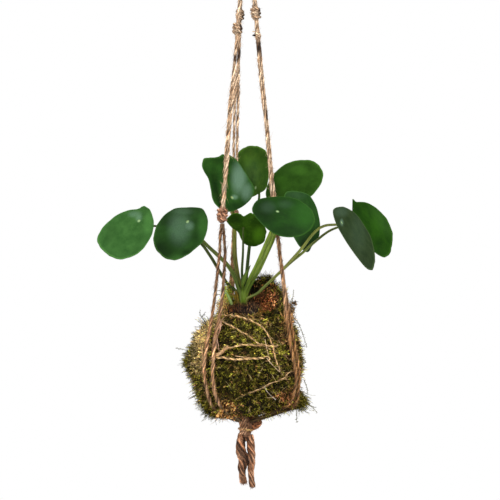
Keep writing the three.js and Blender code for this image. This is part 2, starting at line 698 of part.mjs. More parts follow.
for (const leg of LEGS) {
  const knotted = trianglesOf(add(`leg_${leg.name}`, legSolid(leg), 'jute', 0.9));
  for (const side of [-1, 1]) {
    const fromKnot = shortened(slingRoute(leg, side), STRAND, knotted, false);
    const route = shortened(fromKnot, STRAND, bottom, true);
    add(`sling_${leg.name}_${side < 0 ? 1 : 2}`, tube(route, STRAND, 6, 26), 'jute', 0.9);
  }
}

for (const { name, radius, route } of TAILS) {
  const under = shortened(route.map(point), radius, bottom, false);
  add(`tail_${name}`, tube(under, radius, 10, 8), 'rope', 0.95);
}

add('moss_wrap', mossWrap(), 'moss', 1);
add('binding_twine', bindingTwine(), 'twine', 0.9);
add('soil_ball', soilBall([crownSolid(GAP), shootHole()]), 'soil', 1);
add('stem_crown', crownSolid(), 'crown', 0.5);
add('young_leaf', youngLeaf(), 'youngLeaf', 0.4);
add('side_shoot', sideShoot(), 'shoot', 0.5);
LEAVES.forEach((leaf, i) => add(`leaf_${i + 1}`, leafSolid(leaf), 'leaf', 0.35));

export default plant;
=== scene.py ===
# %% [markdown]
# # A leafy plant in a ball of moss, hung in a knotted jute hanger
# The solids of the plant are already made and stay where they are. This lesson dresses them:
# every solid gets a finer piece of the same form, with plies, fibres, sprigs and veins that are
# too small for the solids, and a material that varies as the real surface does.
# Most pieces are built from arrays of points, because moss and rope are the same small shape
# laid down thousands of times, and an array does that in one go.

# %% The fixed frame
import math

import bpy
import numpy as np
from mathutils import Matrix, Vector, kdtree, noise


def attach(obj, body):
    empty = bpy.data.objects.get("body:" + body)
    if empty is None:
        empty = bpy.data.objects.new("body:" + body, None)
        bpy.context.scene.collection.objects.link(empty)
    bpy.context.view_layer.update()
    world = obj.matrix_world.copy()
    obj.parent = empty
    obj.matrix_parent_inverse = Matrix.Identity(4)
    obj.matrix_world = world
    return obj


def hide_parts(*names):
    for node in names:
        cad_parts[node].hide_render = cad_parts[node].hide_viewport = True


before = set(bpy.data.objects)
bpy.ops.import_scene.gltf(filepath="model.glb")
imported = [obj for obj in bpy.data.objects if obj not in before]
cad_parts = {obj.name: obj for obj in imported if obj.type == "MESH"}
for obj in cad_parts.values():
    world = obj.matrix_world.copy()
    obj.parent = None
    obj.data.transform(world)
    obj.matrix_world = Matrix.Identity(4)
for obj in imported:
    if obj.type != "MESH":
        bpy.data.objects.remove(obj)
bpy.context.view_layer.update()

# %% [markdown]
# ## The camera
# The plant hangs, and the picture looks at it straight on from far away, so that near and far
# leaves have the same scale. A long lens does that. An orthographic camera would too, but it
# has no lens length for the other views to use.

# %% Camera
CAMERA_AWAY = 3.0       # m in front of the plant
SEEN_ACROSS = 0.5       # m of the plant's plane that fill the picture
PICTURE_MIDDLE = (0.004, -0.36)

lens = bpy.data.cameras.new("camera")
lens.sensor_width = 36
lens.lens = lens.sensor_width * CAMERA_AWAY / SEEN_ACROSS
camera = bpy.data.objects.new("camera", lens)
camera.location = (PICTURE_MIDDLE[0], -CAMERA_AWAY, PICTURE_MIDDLE[1])
camera.rotation_euler = (math.pi / 2, 0, 0)
bpy.context.scene.collection.objects.link(camera)
bpy.context.scene.camera = camera
print("lens", round(lens.lens), "mm")

# %% [markdown]
# ## Places and building blocks
# All places below are in millimetres from the middle of the moss ball: x to the right, y away
# from the viewer, z up. One function turns them into metres under the hook.
# A `Form` gathers the points and faces of one piece. It also keeps two things for each point
# that the materials read: its tint, and its lay, which is where it is along and around a fibre.

# %% Places
HOOK_TO_BALL = 472      # from the hook down to the middle of the ball
UP = np.array((0.0, 0.0, 1.0))
TURN = 2 * math.pi


def metres(points):
    return (np.asarray(points, float) - UP * HOOK_TO_BALL) * 0.001


def unit(vectors):
    vectors = np.asarray(vectors, float)
    return vectors / np.maximum(np.linalg.norm(vectors, axis=-1, keepdims=True), 1e-9)


def smoothstep(low, high, value):
    t = np.clip((value - low) / (high - low), 0, 1)
    return t * t * (3 - 2 * t)


def wander(points, size, seed=0.0):
    """Smooth noise from -1 to 1 at each point, with lumps of that size in millimetres"""
    scaled = np.asarray(points) / size + seed
    return np.array([noise.noise(p) for p in scaled])


def columns(*parts):
    """Rows of numbers from their separate parts, each one number or a number for each row"""
    return np.stack(np.broadcast_arrays(*parts), axis=-1)


def around(angle, side, other, reach=1.0):
    """Places at an angle from one way across to the other, and so far out"""
    angle, reach = np.broadcast_arrays(angle, reach)
    return (reach * np.cos(angle))[..., None] * side + (reach * np.sin(angle))[..., None] * other


def round_angles(count):
    return np.linspace(0, TURN, count, endpoint=False)


# %% A form
class Form:
    def __init__(self):
        self.points, self.tints, self.lays = [], [], []
        self.quads, self.corners = [], []
        self.count = 0

    def add(self, points, quads=(), corners=(), tint=(1, 1, 1), lay=(0, 0, 0)):
        points = np.asarray(points, float).reshape(-1, 3)
        self.points.append(points)
        self.tints.append(np.broadcast_to(np.asarray(tint, float), points.shape))
        self.lays.append(np.broadcast_to(np.asarray(lay, float), points.shape))
        if len(quads):
            self.quads.append(np.asarray(quads).reshape(-1, 4) + self.count)
        if len(corners):
            self.corners.append(np.asarray(corners).reshape(-1, 3) + self.count)
        self.count += len(points)

    def piece(self, name, material, slot, *nodes):
        """Makes the gathered faces one object that takes the place of the named solids"""
        faces = []
        for group in (self.quads, self.corners):
            if group:
                faces += np.concatenate(group).tolist()
        mesh = bpy.data.meshes.new(name)
        mesh.from_pydata(metres(np.concatenate(self.points)).tolist(), [], faces)
        mesh.validate()
        tints = np.concatenate(self.tints)
        colour = mesh.attributes.new("tint", "FLOAT_COLOR", "POINT")
        colour.data.foreach_set("color", np.c_[tints, np.ones(len(tints))].ravel())
        lay = mesh.attributes.new("lay", "FLOAT_VECTOR", "POINT")
        lay.data.foreach_set("vector", np.concatenate(self.lays).ravel())
        mesh.shade_smooth()
        mesh.materials.append(material)
        thing = bpy.data.objects.new(name, mesh)
        bpy.context.scene.collection.objects.link(thing)
        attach(thing, "root")
        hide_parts(*nodes)
        print(name, sum(len(p.vertices) - 2 for p in mesh.polygons), "triangles")
        return thing


# %% Routes
def length_along(route):
    return np.concatenate([[0], np.cumsum(np.linalg.norm(np.diff(route, axis=0), axis=1))])


def at_stops(stops, gone, route):
    """The places on a route that are those lengths along it"""
    return columns(*(np.interp(stops, gone, part) for part in route.T))


def value_at(table, height):
    """Reads a table of (height, value) rows that runs downward"""
    heights, values = zip(*reversed(table))
    return np.interp(height, heights, values)


def through(points, step, closed=False):
    """Points every step millimetres or so on a smooth line through the given ones"""
    points = np.asarray(points, float)
    if closed:
        points = np.concatenate([points[-1:], points, points[:2]])
    else:
        points = np.concatenate([2 * points[:1] - points[1:2], points,
                                 2 * points[-1:] - points[-2:-1]])
    t = np.linspace(0, 1, 16, endpoint=False)[:, None]
    parts = [b + 0.5 * t * (c - a + t * (2 * a - 5 * b + 4 * c - d + t * (3 * (b - c) + d - a)))
             for a, b, c, d in zip(points, points[1:], points[2:], points[3:])]
    fine = np.concatenate(parts + [points[-2:-1]])
    gone = length_along(fine)
    stops = np.linspace(0, gone[-1], max(3, int(round(gone[-1] / step)) + 1))
    return at_stops(stops, gone, fine)


def frames_along(route):
    """The way along a route and two ways across it, turned as little as possible"""
    along = unit(np.gradient(route, axis=0))
    side = np.empty_like(along)
    side[0] = unit(np.cross(along[0], (0.31, 0.92, 0.24)))
    for i in range(1, len(route)):
        turned = side[i - 1] - along[i] * (side[i - 1] @ along[i])
        side[i] = turned / math.sqrt(turned @ turned)
    return along, side, np.cross(along, side)


# %% Skins
def skin(form, rings, ends, tints, lays=(0, 0, 0), flip=False):
    """A closed skin over rings of points, drawn in to one point before and one after them"""
    count, sides = rings.shape[:2]
    i, j = np.meshgrid(np.arange(count - 1), np.arange(sides), indexing="ij")
    k = (j + 1) % sides
    quads = columns(i * sides + j, i * sides + k, (i + 1) * sides + k, (i + 1) * sides + j)
    j, k, last = j[0], k[0], (count - 1) * sides
    fans = np.concatenate([columns(count * sides, k, j),
                           columns(count * sides + 1, last + j, last + k)])
    if flip:
        quads, fans = quads[..., [0, 3, 2, 1]], fans[:, [0, 2, 1]]
    form.add(np.concatenate([rings.reshape(-1, 3), ends]), quads, fans, tints, lays)


def tube(form, route, radius, sides, tint):
    """A closed round skin along a route. Radius and tint may change along it."""
    count = len(route)
    _, side, other = frames_along(route)
    angle = round_angles(sides)
    radius = np.broadcast_to(np.asarray(radius, float), (count,))
    rings = route[:, None] + around(angle, side[:, None], other[:, None], radius[:, None])
    tint = np.broadcast_to(np.asarray(tint, float), (count, 3))
    tints = np.concatenate([np.repeat(tint, sides, axis=0), tint[[0, -1]]])
    gone = length_along(route)
    lays = columns(np.tile(np.cos(angle), count), np.tile(np.sin(angle), count),
                   np.repeat(gone, sides))
    lays = np.concatenate([lays, [[0, 0, 0], [0, 0, gone[-1]]]])
    skin(form, rings, route[[0, -1]], tints, lays)


def lump(form, rings, tint=(1, 1, 1)):
    """A skin over rings that run down a lump, closed at the middle of its first and last"""
    rings = np.array(rings)
    tints = np.broadcast_to(tint, rings.shape)
    tints = np.concatenate([tints.reshape(-1, 3), tints[[0, -1], [0, -1]]])
    skin(form, rings, rings[[0, -1]].mean(axis=1), tints, flip=True)


# %% Spikes and leaflets
def two_across(way):
    side = unit(np.cross(way, np.roll(way, 1, axis=1) + (0.1, 0.2, 0.3)))
    return side, np.cross(way, side)


def spikes(form, root, way, bend, long, wide, root_tint, tip_tint):
    """Many pointed hairs or small leaves at once, each with three edges and one bend"""
    count = len(root)
    way = unit(way)
    long = np.broadcast_to(long, (count,))[:, None]
    wide = np.broadcast_to(wide, (count,))[:, None]
    side, other = two_across(way)
    ring = [around(angle, side, other) for angle in (0, 2.094, 4.189)]
    middle = root + way * long * 0.5 + bend * long * 0.22
    tip = root + way * long * 0.95 + bend * long
    points = np.stack([root + wide * 0.8 * r for r in ring]
                      + [middle + wide * r for r in ring] + [tip], axis=1)
    start = (np.arange(count) * 7)[:, None, None]
    quads = start + np.array([[0, 1, 4, 3], [1, 2, 5, 4], [2, 0, 3, 5]])
    corners = start + np.array([[3, 4, 6], [4, 5, 6], [5, 3, 6], [0, 2, 1]])
    root_tint = np.broadcast_to(root_tint, (count, 3))
    tip_tint = np.broadcast_to(tip_tint, (count, 3))
    tints = np.stack([root_tint] * 3 + [(root_tint + tip_tint) / 2] * 3 + [tip_tint], axis=1)
    lays = np.tile([(0, 0, z) for z in (0, 0, 0, 1, 1, 1, 2)], (count, 1))
    form.add(points, quads, corners, tints.reshape(-1, 3), lays)


def leaflets(form, root, way, long, wide, root_tint, tip_tint):
    """Many small pointed leaves at once, each pointed at both ends and widest near its root"""
    count = len(root)
    way = unit(way)
    long = np.broadcast_to(long, (count,))[:, None]
    wide = np.broadcast_to(wide, (count,))[:, None]
    side, other = two_across(way)
    widest = root + way * long * 0.4
    points = np.stack([root, widest + side * wide, widest + other * wide * 0.6 - side * wide,
                       root + way * long], axis=1)
    start = (np.arange(count) * 4)[:, None, None]
    corners = start + np.array([[0, 1, 2], [0, 3, 1], [1, 3, 2], [0, 2, 3]])
    middle_tint = (root_tint + tip_tint) / 2
    tints = np.broadcast_arrays(root_tint, middle_tint, middle_tint, tip_tint, points[:, 0])[:4]
    form.add(points, (), corners, np.stack(tints, axis=1).reshape(-1, 3))


# %% [markdown]
# ## A way to write materials
# A material is a web of nodes. Written node by node it is long and hard to read, so one small
# class wraps a socket and lets its maths be written as Python: `1 - mask` adds a Math node.
# A second class makes any other node from its type, its settings and its links.

# %% Sockets and webs
class Wire:
    def __init__(self, web, socket):
        self.web, self.socket = web, socket

    def _math(self, operation, a, b):
        return self.web.node("Math", {"operation": operation}, {0: a, 1: b})

    def __add__(self, other):
        return self._math("ADD", self, other)

    def __rsub__(self, other):
        return self._math("SUBTRACT", other, self)

    def __mul__(self, other):
        return self._math("MULTIPLY", self, other)

    def __pow__(self, other):
        return self._math("POWER", self, other)

    __radd__ = __add__
    __rmul__ = __mul__


class Web:
    def __init__(self, owner):
        self.owner = owner
        owner.use_nodes = True
        self.tree = owner.node_tree
        self.tree.nodes.clear()

    def node(self, kind, settings=None, inputs=None, out=0):
        """Makes a node: its settings first, then a value or a wire for each named input"""
        made = self.tree.nodes.new("ShaderNode" + kind)
        for key, value in (settings or {}).items():
            if key == "stops":
                ramp = made.color_ramp
                while len(ramp.elements) < len(value):
                    ramp.elements.new(0.5)
                for element, (place, colour) in zip(ramp.elements, value):
                    element.position = place
                    element.color = (*colour, 1)
            else:
                setattr(made, key, value)
        for key, value in (inputs or {}).items():
            socket = made.inputs[key]
            if isinstance(value, Wire):
                self.tree.links.new(value.socket, socket)
            else:
                socket.default_value = (*value, 1) if socket.type == "RGBA" else value
        return Wire(self, made.outputs[out]) if made.outputs else None

    def blend(self, factor, a, b, way="MIX"):
        """Mixes two colours"""
        return self.node("Mix", {"data_type": "RGBA", "blend_type": way},
                         {0: factor, 6: a, 7: b}, out=2)

    def times(self, a, b):
        return self.blend(1.0, a, b, "MULTIPLY")

    def between(self, value, low, high, at_low=0.0, at_high=1.0):
        return self.node("MapRange", {}, {0: value, 1: low, 2: high, 3: at_low, 4: at_high})

    def parts(self, kind, value):
        """The three numbers of a place or a colour"""
        outputs = self.node(kind, {}, {0: value}).socket.node.outputs
        return [Wire(self, outputs[i]) for i in range(3)]

    def attribute(self, name, out):
        return self.node("Attribute", {"attribute_name": name}, out=out)

    def stretched(self, where, *scale):
        return self.node("Mapping", {}, {"Vector": where, "Scale": scale})

    def grain(self, where, scale, detail=3, roughness=0.55):
        return self.node("TexNoise", {}, {"Vector": where, "Scale": scale, "Detail": detail,
                                          "Roughness": roughness})

    def ramp(self, value, *stops):
        return self.node("ValToRGB", {"stops": stops}, {0: value})

    def bump(self, height, strength, distance):
        return self.node("Bump", {}, {"Height": height, "Strength": strength,
                                      "Distance": distance})

    def surface(self, **sockets):
        names = {key.replace("_", " "): value for key, value in sockets.items()}
        shader = self.node("BsdfPrincipled", {}, names)
        self.node("OutputMaterial", {}, {"Surface": shader})
        return self.owner


def material_web(name):
    return Web(bpy.data.materials.new(name))


# %% [markdown]
# ## Jute
# Jute cord is made of long flat fibres, spun into plies that are twisted together. Each fibre
# is a slightly different tan, a few are dark with bark, and the cord is dull and hairy.
# The plies and hairs are geometry. The fibres within a ply are finer than any geometry, so a
# noise drawn out along the ply makes them: its place is read from the lay of each point, which
# goes round the ply and along it, so the streaks follow the twist.

# %% Jute material
def jute_material(name, streak, dark):
    web = material_web(name)
    lay = web.attribute("lay", 1)
    fibres = web.grain(web.stretched(lay, 1.6, 1.6, 0.2), 2.2, 4, 0.7)
    patches = web.grain(web.stretched(lay, 0.4, 0.4, 0.14), 1.0)
    lines = web.ramp(fibres, (0.38, (dark, dark * 0.74, dark * 0.56)),
                     (0.50, (0.92, 0.86, 0.78)),
                     (0.64, (streak, streak * 0.98, streak * 0.92)))
    aged = web.ramp(patches, (0.36, (0.62, 0.48, 0.38)), (0.56, (1.05, 1.02, 1)))
    colour = web.times(web.times(web.attribute("tint", 0), lines), aged)
    return web.surface(Base_Color=colour, Roughness=0.82 + 0.12 * fibres,
                       Specular_IOR_Level=0.2, Sheen_Weight=0.12,
                       Normal=web.bump(fibres, 0.6, 0.0004))


JUTE = np.array((0.75, 0.60, 0.45))
TWINE_TAN = np.array((0.86, 0.64, 0.34))
ROPE_BROWN = np.array((0.36, 0.20, 0.12))
jute = jute_material("jute", 1.85, 0.18)
print("jute fibres in", len(jute.node_tree.nodes), "nodes")

# %% [markdown]
# ## Twisted cord
# A cord could be one tube with a twisted bump. Its outline would then be smooth, and the
# twist of a real cord shows at its outline first. So each ply is a thin tube that winds round
# the middle, and loose hairs stand off it.

# %% Twisted cord
PLY_SHADES = (1.45, 0.3, 1.02, 0.62)    # light, dark and middling plies, as in real jute


def twisted(form, route, radius, pitch, tint, rng, plies=4, sides=6):
    _, side, other = frames_along(route)
    gone = length_along(route)
    start = rng.uniform(0, TURN)
    for k, ply_shade in enumerate(PLY_SHADES[:plies]):
        angle = start + TURN * (gone / pitch + k / plies) + 0.35 * np.sin(gone / 7.3 + 2 * k)
        off = radius * (0.53 + 0.08 * np.sin(gone / 3.1 + 3 * k))
        shade = ply_shade * rng.uniform(0.85, 1.15) * (1 + 0.22 * np.sin(gone / 9.7 + 5 * k))
        thick = radius * 0.5 * (1 + 0.14 * np.sin(gone / 4.3 + 1.7 * k + start))
        tube(form, route + around(angle, side, other, off), thick, sides, np.outer(shade, tint))


def hairs(form, route, radius, every, long, tint, rng, lean=0.9, wide=0.085):
    """Loose fibres that leave a cord at a slant and curl"""
    gone = length_along(route)
    count = max(2, int(gone[-1] / every))
    place = rng.uniform(0, gone[-1], count)
    along, side, other = frames_along(route)
    near = np.clip(np.searchsorted(gone, place), 0, len(route) - 1)
    out = around(rng.uniform(0, TURN, count), side[near], other[near])
    heading = along[near] * rng.choice((-1, 1), count)[:, None]
    way = out * rng.uniform(0.25, 1, count)[:, None] + heading * lean
    bend = unit(rng.normal(size=(count, 3))) * rng.uniform(0.1, 0.45, count)[:, None]
    lengths = long * rng.uniform(0.35, 1, count)
    shaded = np.asarray(tint) * rng.uniform(0.75, 1.35, count)[:, None]
    spikes(form, at_stops(place, gone, route) + out * radius * 0.75, way, bend, lengths, wide,
           shaded, shaded * 1.15)


def hairy_cord(form, route, radius, pitch, tint, rng):
    """A twisted cord with short hairs all along it and a few long ones that lie close"""
    twisted(form, route, radius, pitch, tint, rng)
    hairs(form, route, radius, 0.9, 5.5, tint, rng)
    hairs(form, route, radius, 2.2, 15, tint * 1.1, rng, lean=5, wide=0.13)


# %% [markdown]
# ## The two rope tails
# Under the ball the gathered cords end in two short thick tails, frayed at their ends. They
# hang free. A tail is several strands laid round each other, and its end is a brush of fibres.

# %% Rope tails
# For each tail: its radius, the side that faces the other tail, the seed of its draws and the
# places along it
ROPE_TAILS = {
    "left": (4.0, 1, 31, [
        (-4.3, -0.1, -72.2), (-4.5, -0.1, -73), (-4.9, -0.2, -76.5), (-5.2, -0.3, -80),
        (-5.3, -0.4, -83.5), (-5.2, -0.4, -87), (-4.9, -0.4, -90.5), (-4.5, -0.3, -94),
        (-4.1, -0.2, -97.5), (-4, -0.1, -101), (-4.1, 0, -104.5), (-4, 0.1, -108),
        (-3.6, 0.2, -111.5), (-3.1, 0.2, -115), (-2.7, 0.2, -118.5), (-2.5, 0.2, -121)]),
    "right": (3.3, -1, 37, [
        (4.1, 0.3, -72.6), (4.3, 0.4, -77), (4.6, 0.5, -80.5), (5, 0.5, -84), (5.3, 0.5, -87.5),
        (5.6, 0.4, -91), (5.7, 0.3, -94.5), (5.6, 0.2, -98), (5.3, 0.1, -101.5), (4.9, 0, -105),
        (4.8, -0.1, -108.5), (5.1, -0.1, -112), (5.6, -0.1, -115.5), (6, 0, -119),
        (6.2, 0.1, -122), (6.3, 0.1, -124.8)]),
}
STRAY_STRAND = [(-3.5, 0, -83), (-0.8, -0.5, -90), (1.4, -0.5, -97), (0.2, 0, -103),
                (-2.6, 0, -110)]
TAIL_STRANDS = 4
TAIL_STEP = 0.7
FRAYED_FIBRES = 420


# %% Strands and frayed ends
def tail_strands(form, side, radius, route, rng):
    _, across, other = frames_along(route)
    gone = length_along(route)
    t = gone / gone[-1]
    narrowed = 0.8 + 0.5 * smoothstep(0, 0.2, t) - 0.5 * smoothstep(0.35, 0.8, t)
    for k in range(TAIL_STRANDS):
        angle = TURN * (k / TAIL_STRANDS - gone / 62) + 0.4 * np.sin(gone / 11 + k)
        spread = radius * (0.58 + 0.05 * np.sin(gone / 8 + 2 * k)) * narrowed
        line = route + around(angle, across, other, spread)
        line[-1] += (line[-1] - line[-4]) * rng.uniform(-0.6, 0.2)
        twisted(form, line, radius * 0.52, -23, ROPE_BROWN * rng.uniform(0.5, 1.7), rng)
        hairs(form, line, radius * 0.45, 0.45, radius * 0.75, ROPE_BROWN, rng, lean=2.2,
              wide=0.15)
    if side == "left":
        twisted(form, through(STRAY_STRAND, TAIL_STEP), 1.6, -12, ROPE_BROWN * 0.5, rng)


def frayed_end(form, radius, route, rng):
    spread = unit(rng.normal(size=(FRAYED_FIBRES, 3)))
    spread = spread * (radius * 0.85 * rng.uniform(0, 1, (FRAYED_FIBRES, 1)))
    root = route[-5] + spread * (1, 1, 0.6)
    way = unit(route[-1] - route[-6]) + rng.normal(scale=0.22, size=root.shape)
    shaded = ROPE_BROWN * rng.uniform(0.7, 1.5, (FRAYED_FIBRES, 1))
    spikes(form, root, way, rng.normal(scale=0.14, size=root.shape),
           rng.uniform(2, 4.6, FRAYED_FIBRES), 0.16, shaded, shaded * 1.3)


def rope_tail(side, radius, inner, seed, places):
    rng = np.random.default_rng(seed)
    form = Form()
    route = through(places, TAIL_STEP)
    tail_strands(form, side, radius, route, rng)
    # Painted shade on the side of each tail that faces the other, and painted light on its outer
    # side
    for i, points in enumerate(form.points):
        middle = np.interp(-points[:, 2], -route[:, 2], route[:, 0])
        painted_slit_shade = np.clip(inner * (points[:, 0] - middle) / radius, -1, 1)[:, None]
        form.tints[i] = form.tints[i] * (1 - painted_slit_shade * (0.45, 0.52, 0.6))
    frayed_end(form, radius, route, rng)
    tail = form.piece(f"rope_tail_{side}", jute, "rope", f"tail_{side}")
    2 * radius * 0.001


for side, row in ROPE_TAILS.items():
    rope_tail(side, *row)

# %% [markdown]
# ## The shape of the moss ball
# Everything that lies on the moss has to know how far the moss reaches. These are the same
# lumps as in the solid: a round ball with a mound behind the stem, a right shoulder and a tuft
# at the lower right corner.

# %% Moss shape
BALL_SIDE, BALL_DEPTH = 54.5, 53.5      # half its width and depth
OPENING = unit((-3, -12, 58))           # the way to the opening where the stem comes out
OPENING_ANGLE = 17                      # degrees
GAP = 0.35
TWINE = 0.9
TWINE_LIFT = GAP + TWINE + 0.75
STRAND = 1.3
SLING_LIFT = TWINE_LIFT + TWINE + GAP + STRAND + 0.5
MOSS_LUMPS = [                          # the way to each, how high and how wide in degrees
    ((22, 32, 84), 35, 24), ((42, 8, 38), 4, 16), ((56, -4, -45), 12, 14),
    ((-36, -6, -48), 7, 18), ((-60, -8, 2), 4, 15), ((-20, -46, -12), 2, 20),
    ((25, 50, -20), 4, 22), ((-30, 45, 15), 3, 20),
]


def degrees_between(ways, way):
    return np.degrees(np.arccos(np.clip(ways @ way, -1, 1)))


def swell(ways, lumps):
    """How much the given lumps raise each way"""
    return sum(rise * np.exp(-(degrees_between(ways, unit(at)) / spread) ** 2)
               for at, rise, spread in lumps)


def moss_reach(ways):
    x, y, z = np.moveaxis(ways, -1, 0)
    clear = smoothstep(OPENING_ANGLE + 2, OPENING_ANGLE + 13, degrees_between(ways, OPENING))
    ripple = np.sin(5.1 * x + 3.3 * z + 1) * np.sin(4.7 * y - 2.9 * z)
    ball = 1 / np.hypot(np.hypot(x, z) / BALL_SIDE, y / BALL_DEPTH)
    return ball + 1.3 * ripple + clear * swell(ways, MOSS_LUMPS)


def over_moss(bearing, height, lift):
    """Places over the moss at bearings in degrees from the front, and heights. The lift may vary."""
    bearing = np.radians(bearing)
    reach = np.full(np.shape(bearing), float(BALL_SIDE))
    for _ in range(8):
        tilt = np.arcsin(np.clip(height / reach, -0.98, 0.98))
        ways = columns(np.cos(tilt) * np.sin(bearing), -np.cos(tilt) * np.cos(bearing),
                       np.sin(tilt))
        reach = moss_reach(ways) + lift
    return ways * reach[..., None]


print("moss reaches", np.round(moss_reach(unit([(1, 0, 0), (-1, 0, 0), (22, 32, 84)])), 1), "mm")

# %% [markdown]
# ## The hanger
# Three legs of two strands each come down from a gathering knot, pass a small knot and a
# middle knot, spread over the ball and meet in the knot below it. A strand is a jute cord of
# 2.6 mm. The knots are real wraps of the same cord round the pair.

# %% Hanger sizes
LEG_TOP, LEG_SPREAD = 454, 0.119        # where the legs' lines meet, and how fast they part
GATHER_HIGH, GATHER_LOW = 446, 424
STRAND_APART = 1.65
MIDDLE_KNOT = (147, 18, 12)             # height of its middle, tall, wide
# Each leg: its bearing, how far its slings part on the ball, the way they turn round the ball as
# (height, bearing), its knots, how it sways sideways as (height, mm) and how far its two strands
# are turned round each other as (height, degrees)
LEGS = {
    "left": (-40, 5.6, [(141, -39), (110, -33.5), (60, -33.5), (15, -37.5), (-20, -39.5),
                        (-35, -43), (-55, -52)],
             [(332, 14.5, 11), MIDDLE_KNOT],
             [(423, 0), (362, 0.6), (317, 1.2), (280, 0.8), (252, 0), (147, 0)],
             [(424, 0), (400, 45), (300, 45), (255, 0), (200, 5), (172, 65), (147, 70)]),
    "back": (201, 3.5, [(141, 201), (-55, 201)], [(348, 14, 9.5), (147, 18, 9.5)],
             [(423, 0), (362, 1.6), (340, 1.6), (317, 1.0), (252, 1.3), (212, 0.6), (165, -1),
              (110, -2.6), (70, -3.2), (50, -1.5), (35, 0), (0, 0)],
             [(424, 0), (400, -60), (300, -60), (255, 0), (200, 0), (160, 65), (95, 65), (50, 0)]),
    "right": (54, 3, [(141, 54), (110, 52), (60, 52.5), (15, 54), (-5, 57), (-20, 63), (-38, 70),
                      (-55, 66)],
              [(348.5, 16.5, 11), (326, 7, 7), MIDDLE_KNOT],
              [(423, 0), (320, -1.2), (262, -1.6), (242, -0.4), (200, -1), (182, -1.8),
               (147, -0.5)], [(424, 0), (160, 0), (110, -30), (75, -30), (50, 0)]),
}
# Where the outer bark was left on: height, half its length, and from where to where across
DARK_STRETCHES = {
    "left": [(302.5, 3.6, -14, -9), (309, 5, -8.8, -5), (333, 4.5, -6.3, -2)],
    "back": [(309, 7, -12, -4), (345.5, 5, -3.8, 0)],
    "right": [(314, 7, 9, 16), (247, 5.5, 19.7, 26), (333, 4.5, 13.4, 17), (350.5, 5, 12.4, 18)],
}
KNOT_TINTS = {"left": (0.56, 0.32, 0.21), "back": (0.5, 0.3, 0.2), "right": (0.56, 0.36, 0.24)}


def bearing_ways(degrees):
    """The way outward at a bearing from the front, and the way sideways from it"""
    a = math.radians(degrees)
    return np.array((math.sin(a), -math.cos(a), 0)), np.array((math.cos(a), math.sin(a), 0))


def reach_at(height):
    return LEG_SPREAD * (LEG_TOP - height)


def leg_places(name, heights):
    """Places in the middle of a leg, with its sway"""
    outward, sideways = bearing_ways(LEGS[name][0])
    heights = np.asarray(heights, float)
    return (np.outer(reach_at(heights), outward) + np.outer(heights, UP)
            + np.outer(value_at(LEGS[name][4], heights), sideways))


# %% Knots
def wrapped_knot(form, middle, along, tall, wide, tint, rng, cord=1.3, turns=3.2, slant=0.28):
    """A knot seen as slanted wraps of cord with one wrap crossing over them"""
    side = unit(np.cross(along, (0, 1, 0)))
    front = np.cross(along, side)
    tint = np.asarray(tint)
    reach = wide / 2 - cord
    t = np.linspace(0, 1, int(26 * turns))
    angle = TURN * turns * t + rng.uniform(0, 6)
    out = reach * np.sqrt(1 - 0.8 * np.abs(2 * t - 1) ** 3)
    rise = (t - 0.5) * (tall - 2.6 * cord) + slant * out * np.cos(angle)
    wraps = middle + around(angle, side, front, out) + np.outer(rise, along)
    twisted(form, wraps, cord, 7.5, tint, rng)
    hairs(form, wraps, cord, 0.8, 4.5, tint, rng)
    t = np.linspace(-0.5, 1.5, 24)
    tucked = 1 - 0.65 * smoothstep(0.6, 1.0, np.abs(t - 0.5))
    over = (middle + np.outer(0.9 * reach * np.cos(math.pi * t), side)
            - np.outer(tucked * reach * (1.08 + 0.1 * np.sin(math.pi * t)), front)
            + np.outer(0.33 * tall * (t - 0.5), along))
    twisted(form, over, cord * 0.92, 7.5, tint * 0.9, rng)
    # A dark body inside the wraps: painted shade between them
    core = (reach + 0.3) * np.sqrt(np.sin(np.linspace(0.12, math.pi - 0.12, 14)))
    tube(form, middle + np.outer(np.linspace(-0.46, 0.46, 14) * tall, along), core, 12, tint * 0.5)


# %% Legs
BARK_BLACK = (0.012, 0.008, 0.006)
PALE_FIBRE = (1.1, 0.9, 0.6)


def leg_strand(name, side):
    outward, sideways = bearing_ways(LEGS[name][0])
    line = leg_places(name, np.linspace(GATHER_LOW - GAP, MIDDLE_KNOT[0], 300))
    height = line[:, 2]
    across = around(np.radians(value_at(LEGS[name][5], height)), sideways, outward)
    apart = side * (STRAND_APART + 0.15 * np.sin(height / 8))
    bow = 0.3 * np.sin(height / 19 + side + LEGS[name][0])
    return line + across * (apart + bow)[:, None]


def darkened(form, stretches):
    """Darkens the cord where its outer bark was left on"""
    for i, points in enumerate(form.points):
        near = sum(np.exp(-((points[:, 2] - height) / half) ** 4)
                   * ((points[:, 0] > left) & (points[:, 0] < right))
                   for height, half, left, right in stretches)
        blotch = np.clip(near * (1.0 + 0.5 * wander(points, 3.0)), 0, 1)[:, None]
        form.tints[i] = form.tints[i] * (1 - blotch * (0.88, 0.91, 0.93))


def slivers(form, height, rise, count, rng, wide, tint, long=None):
    """A flake of bark or loose fibres that stand off the right leg to the left"""
    root = leg_places("right", [height]) + rng.normal(scale=0.4, size=(count, 3))
    way = np.tile((-1, -0.2, rise), (count, 1))
    long = rng.uniform(2.5, 4.6, count) if long is None else long
    spikes(form, root - (1.5, 2, 0), way, np.zeros((count, 3)), long, wide, tint, tint)


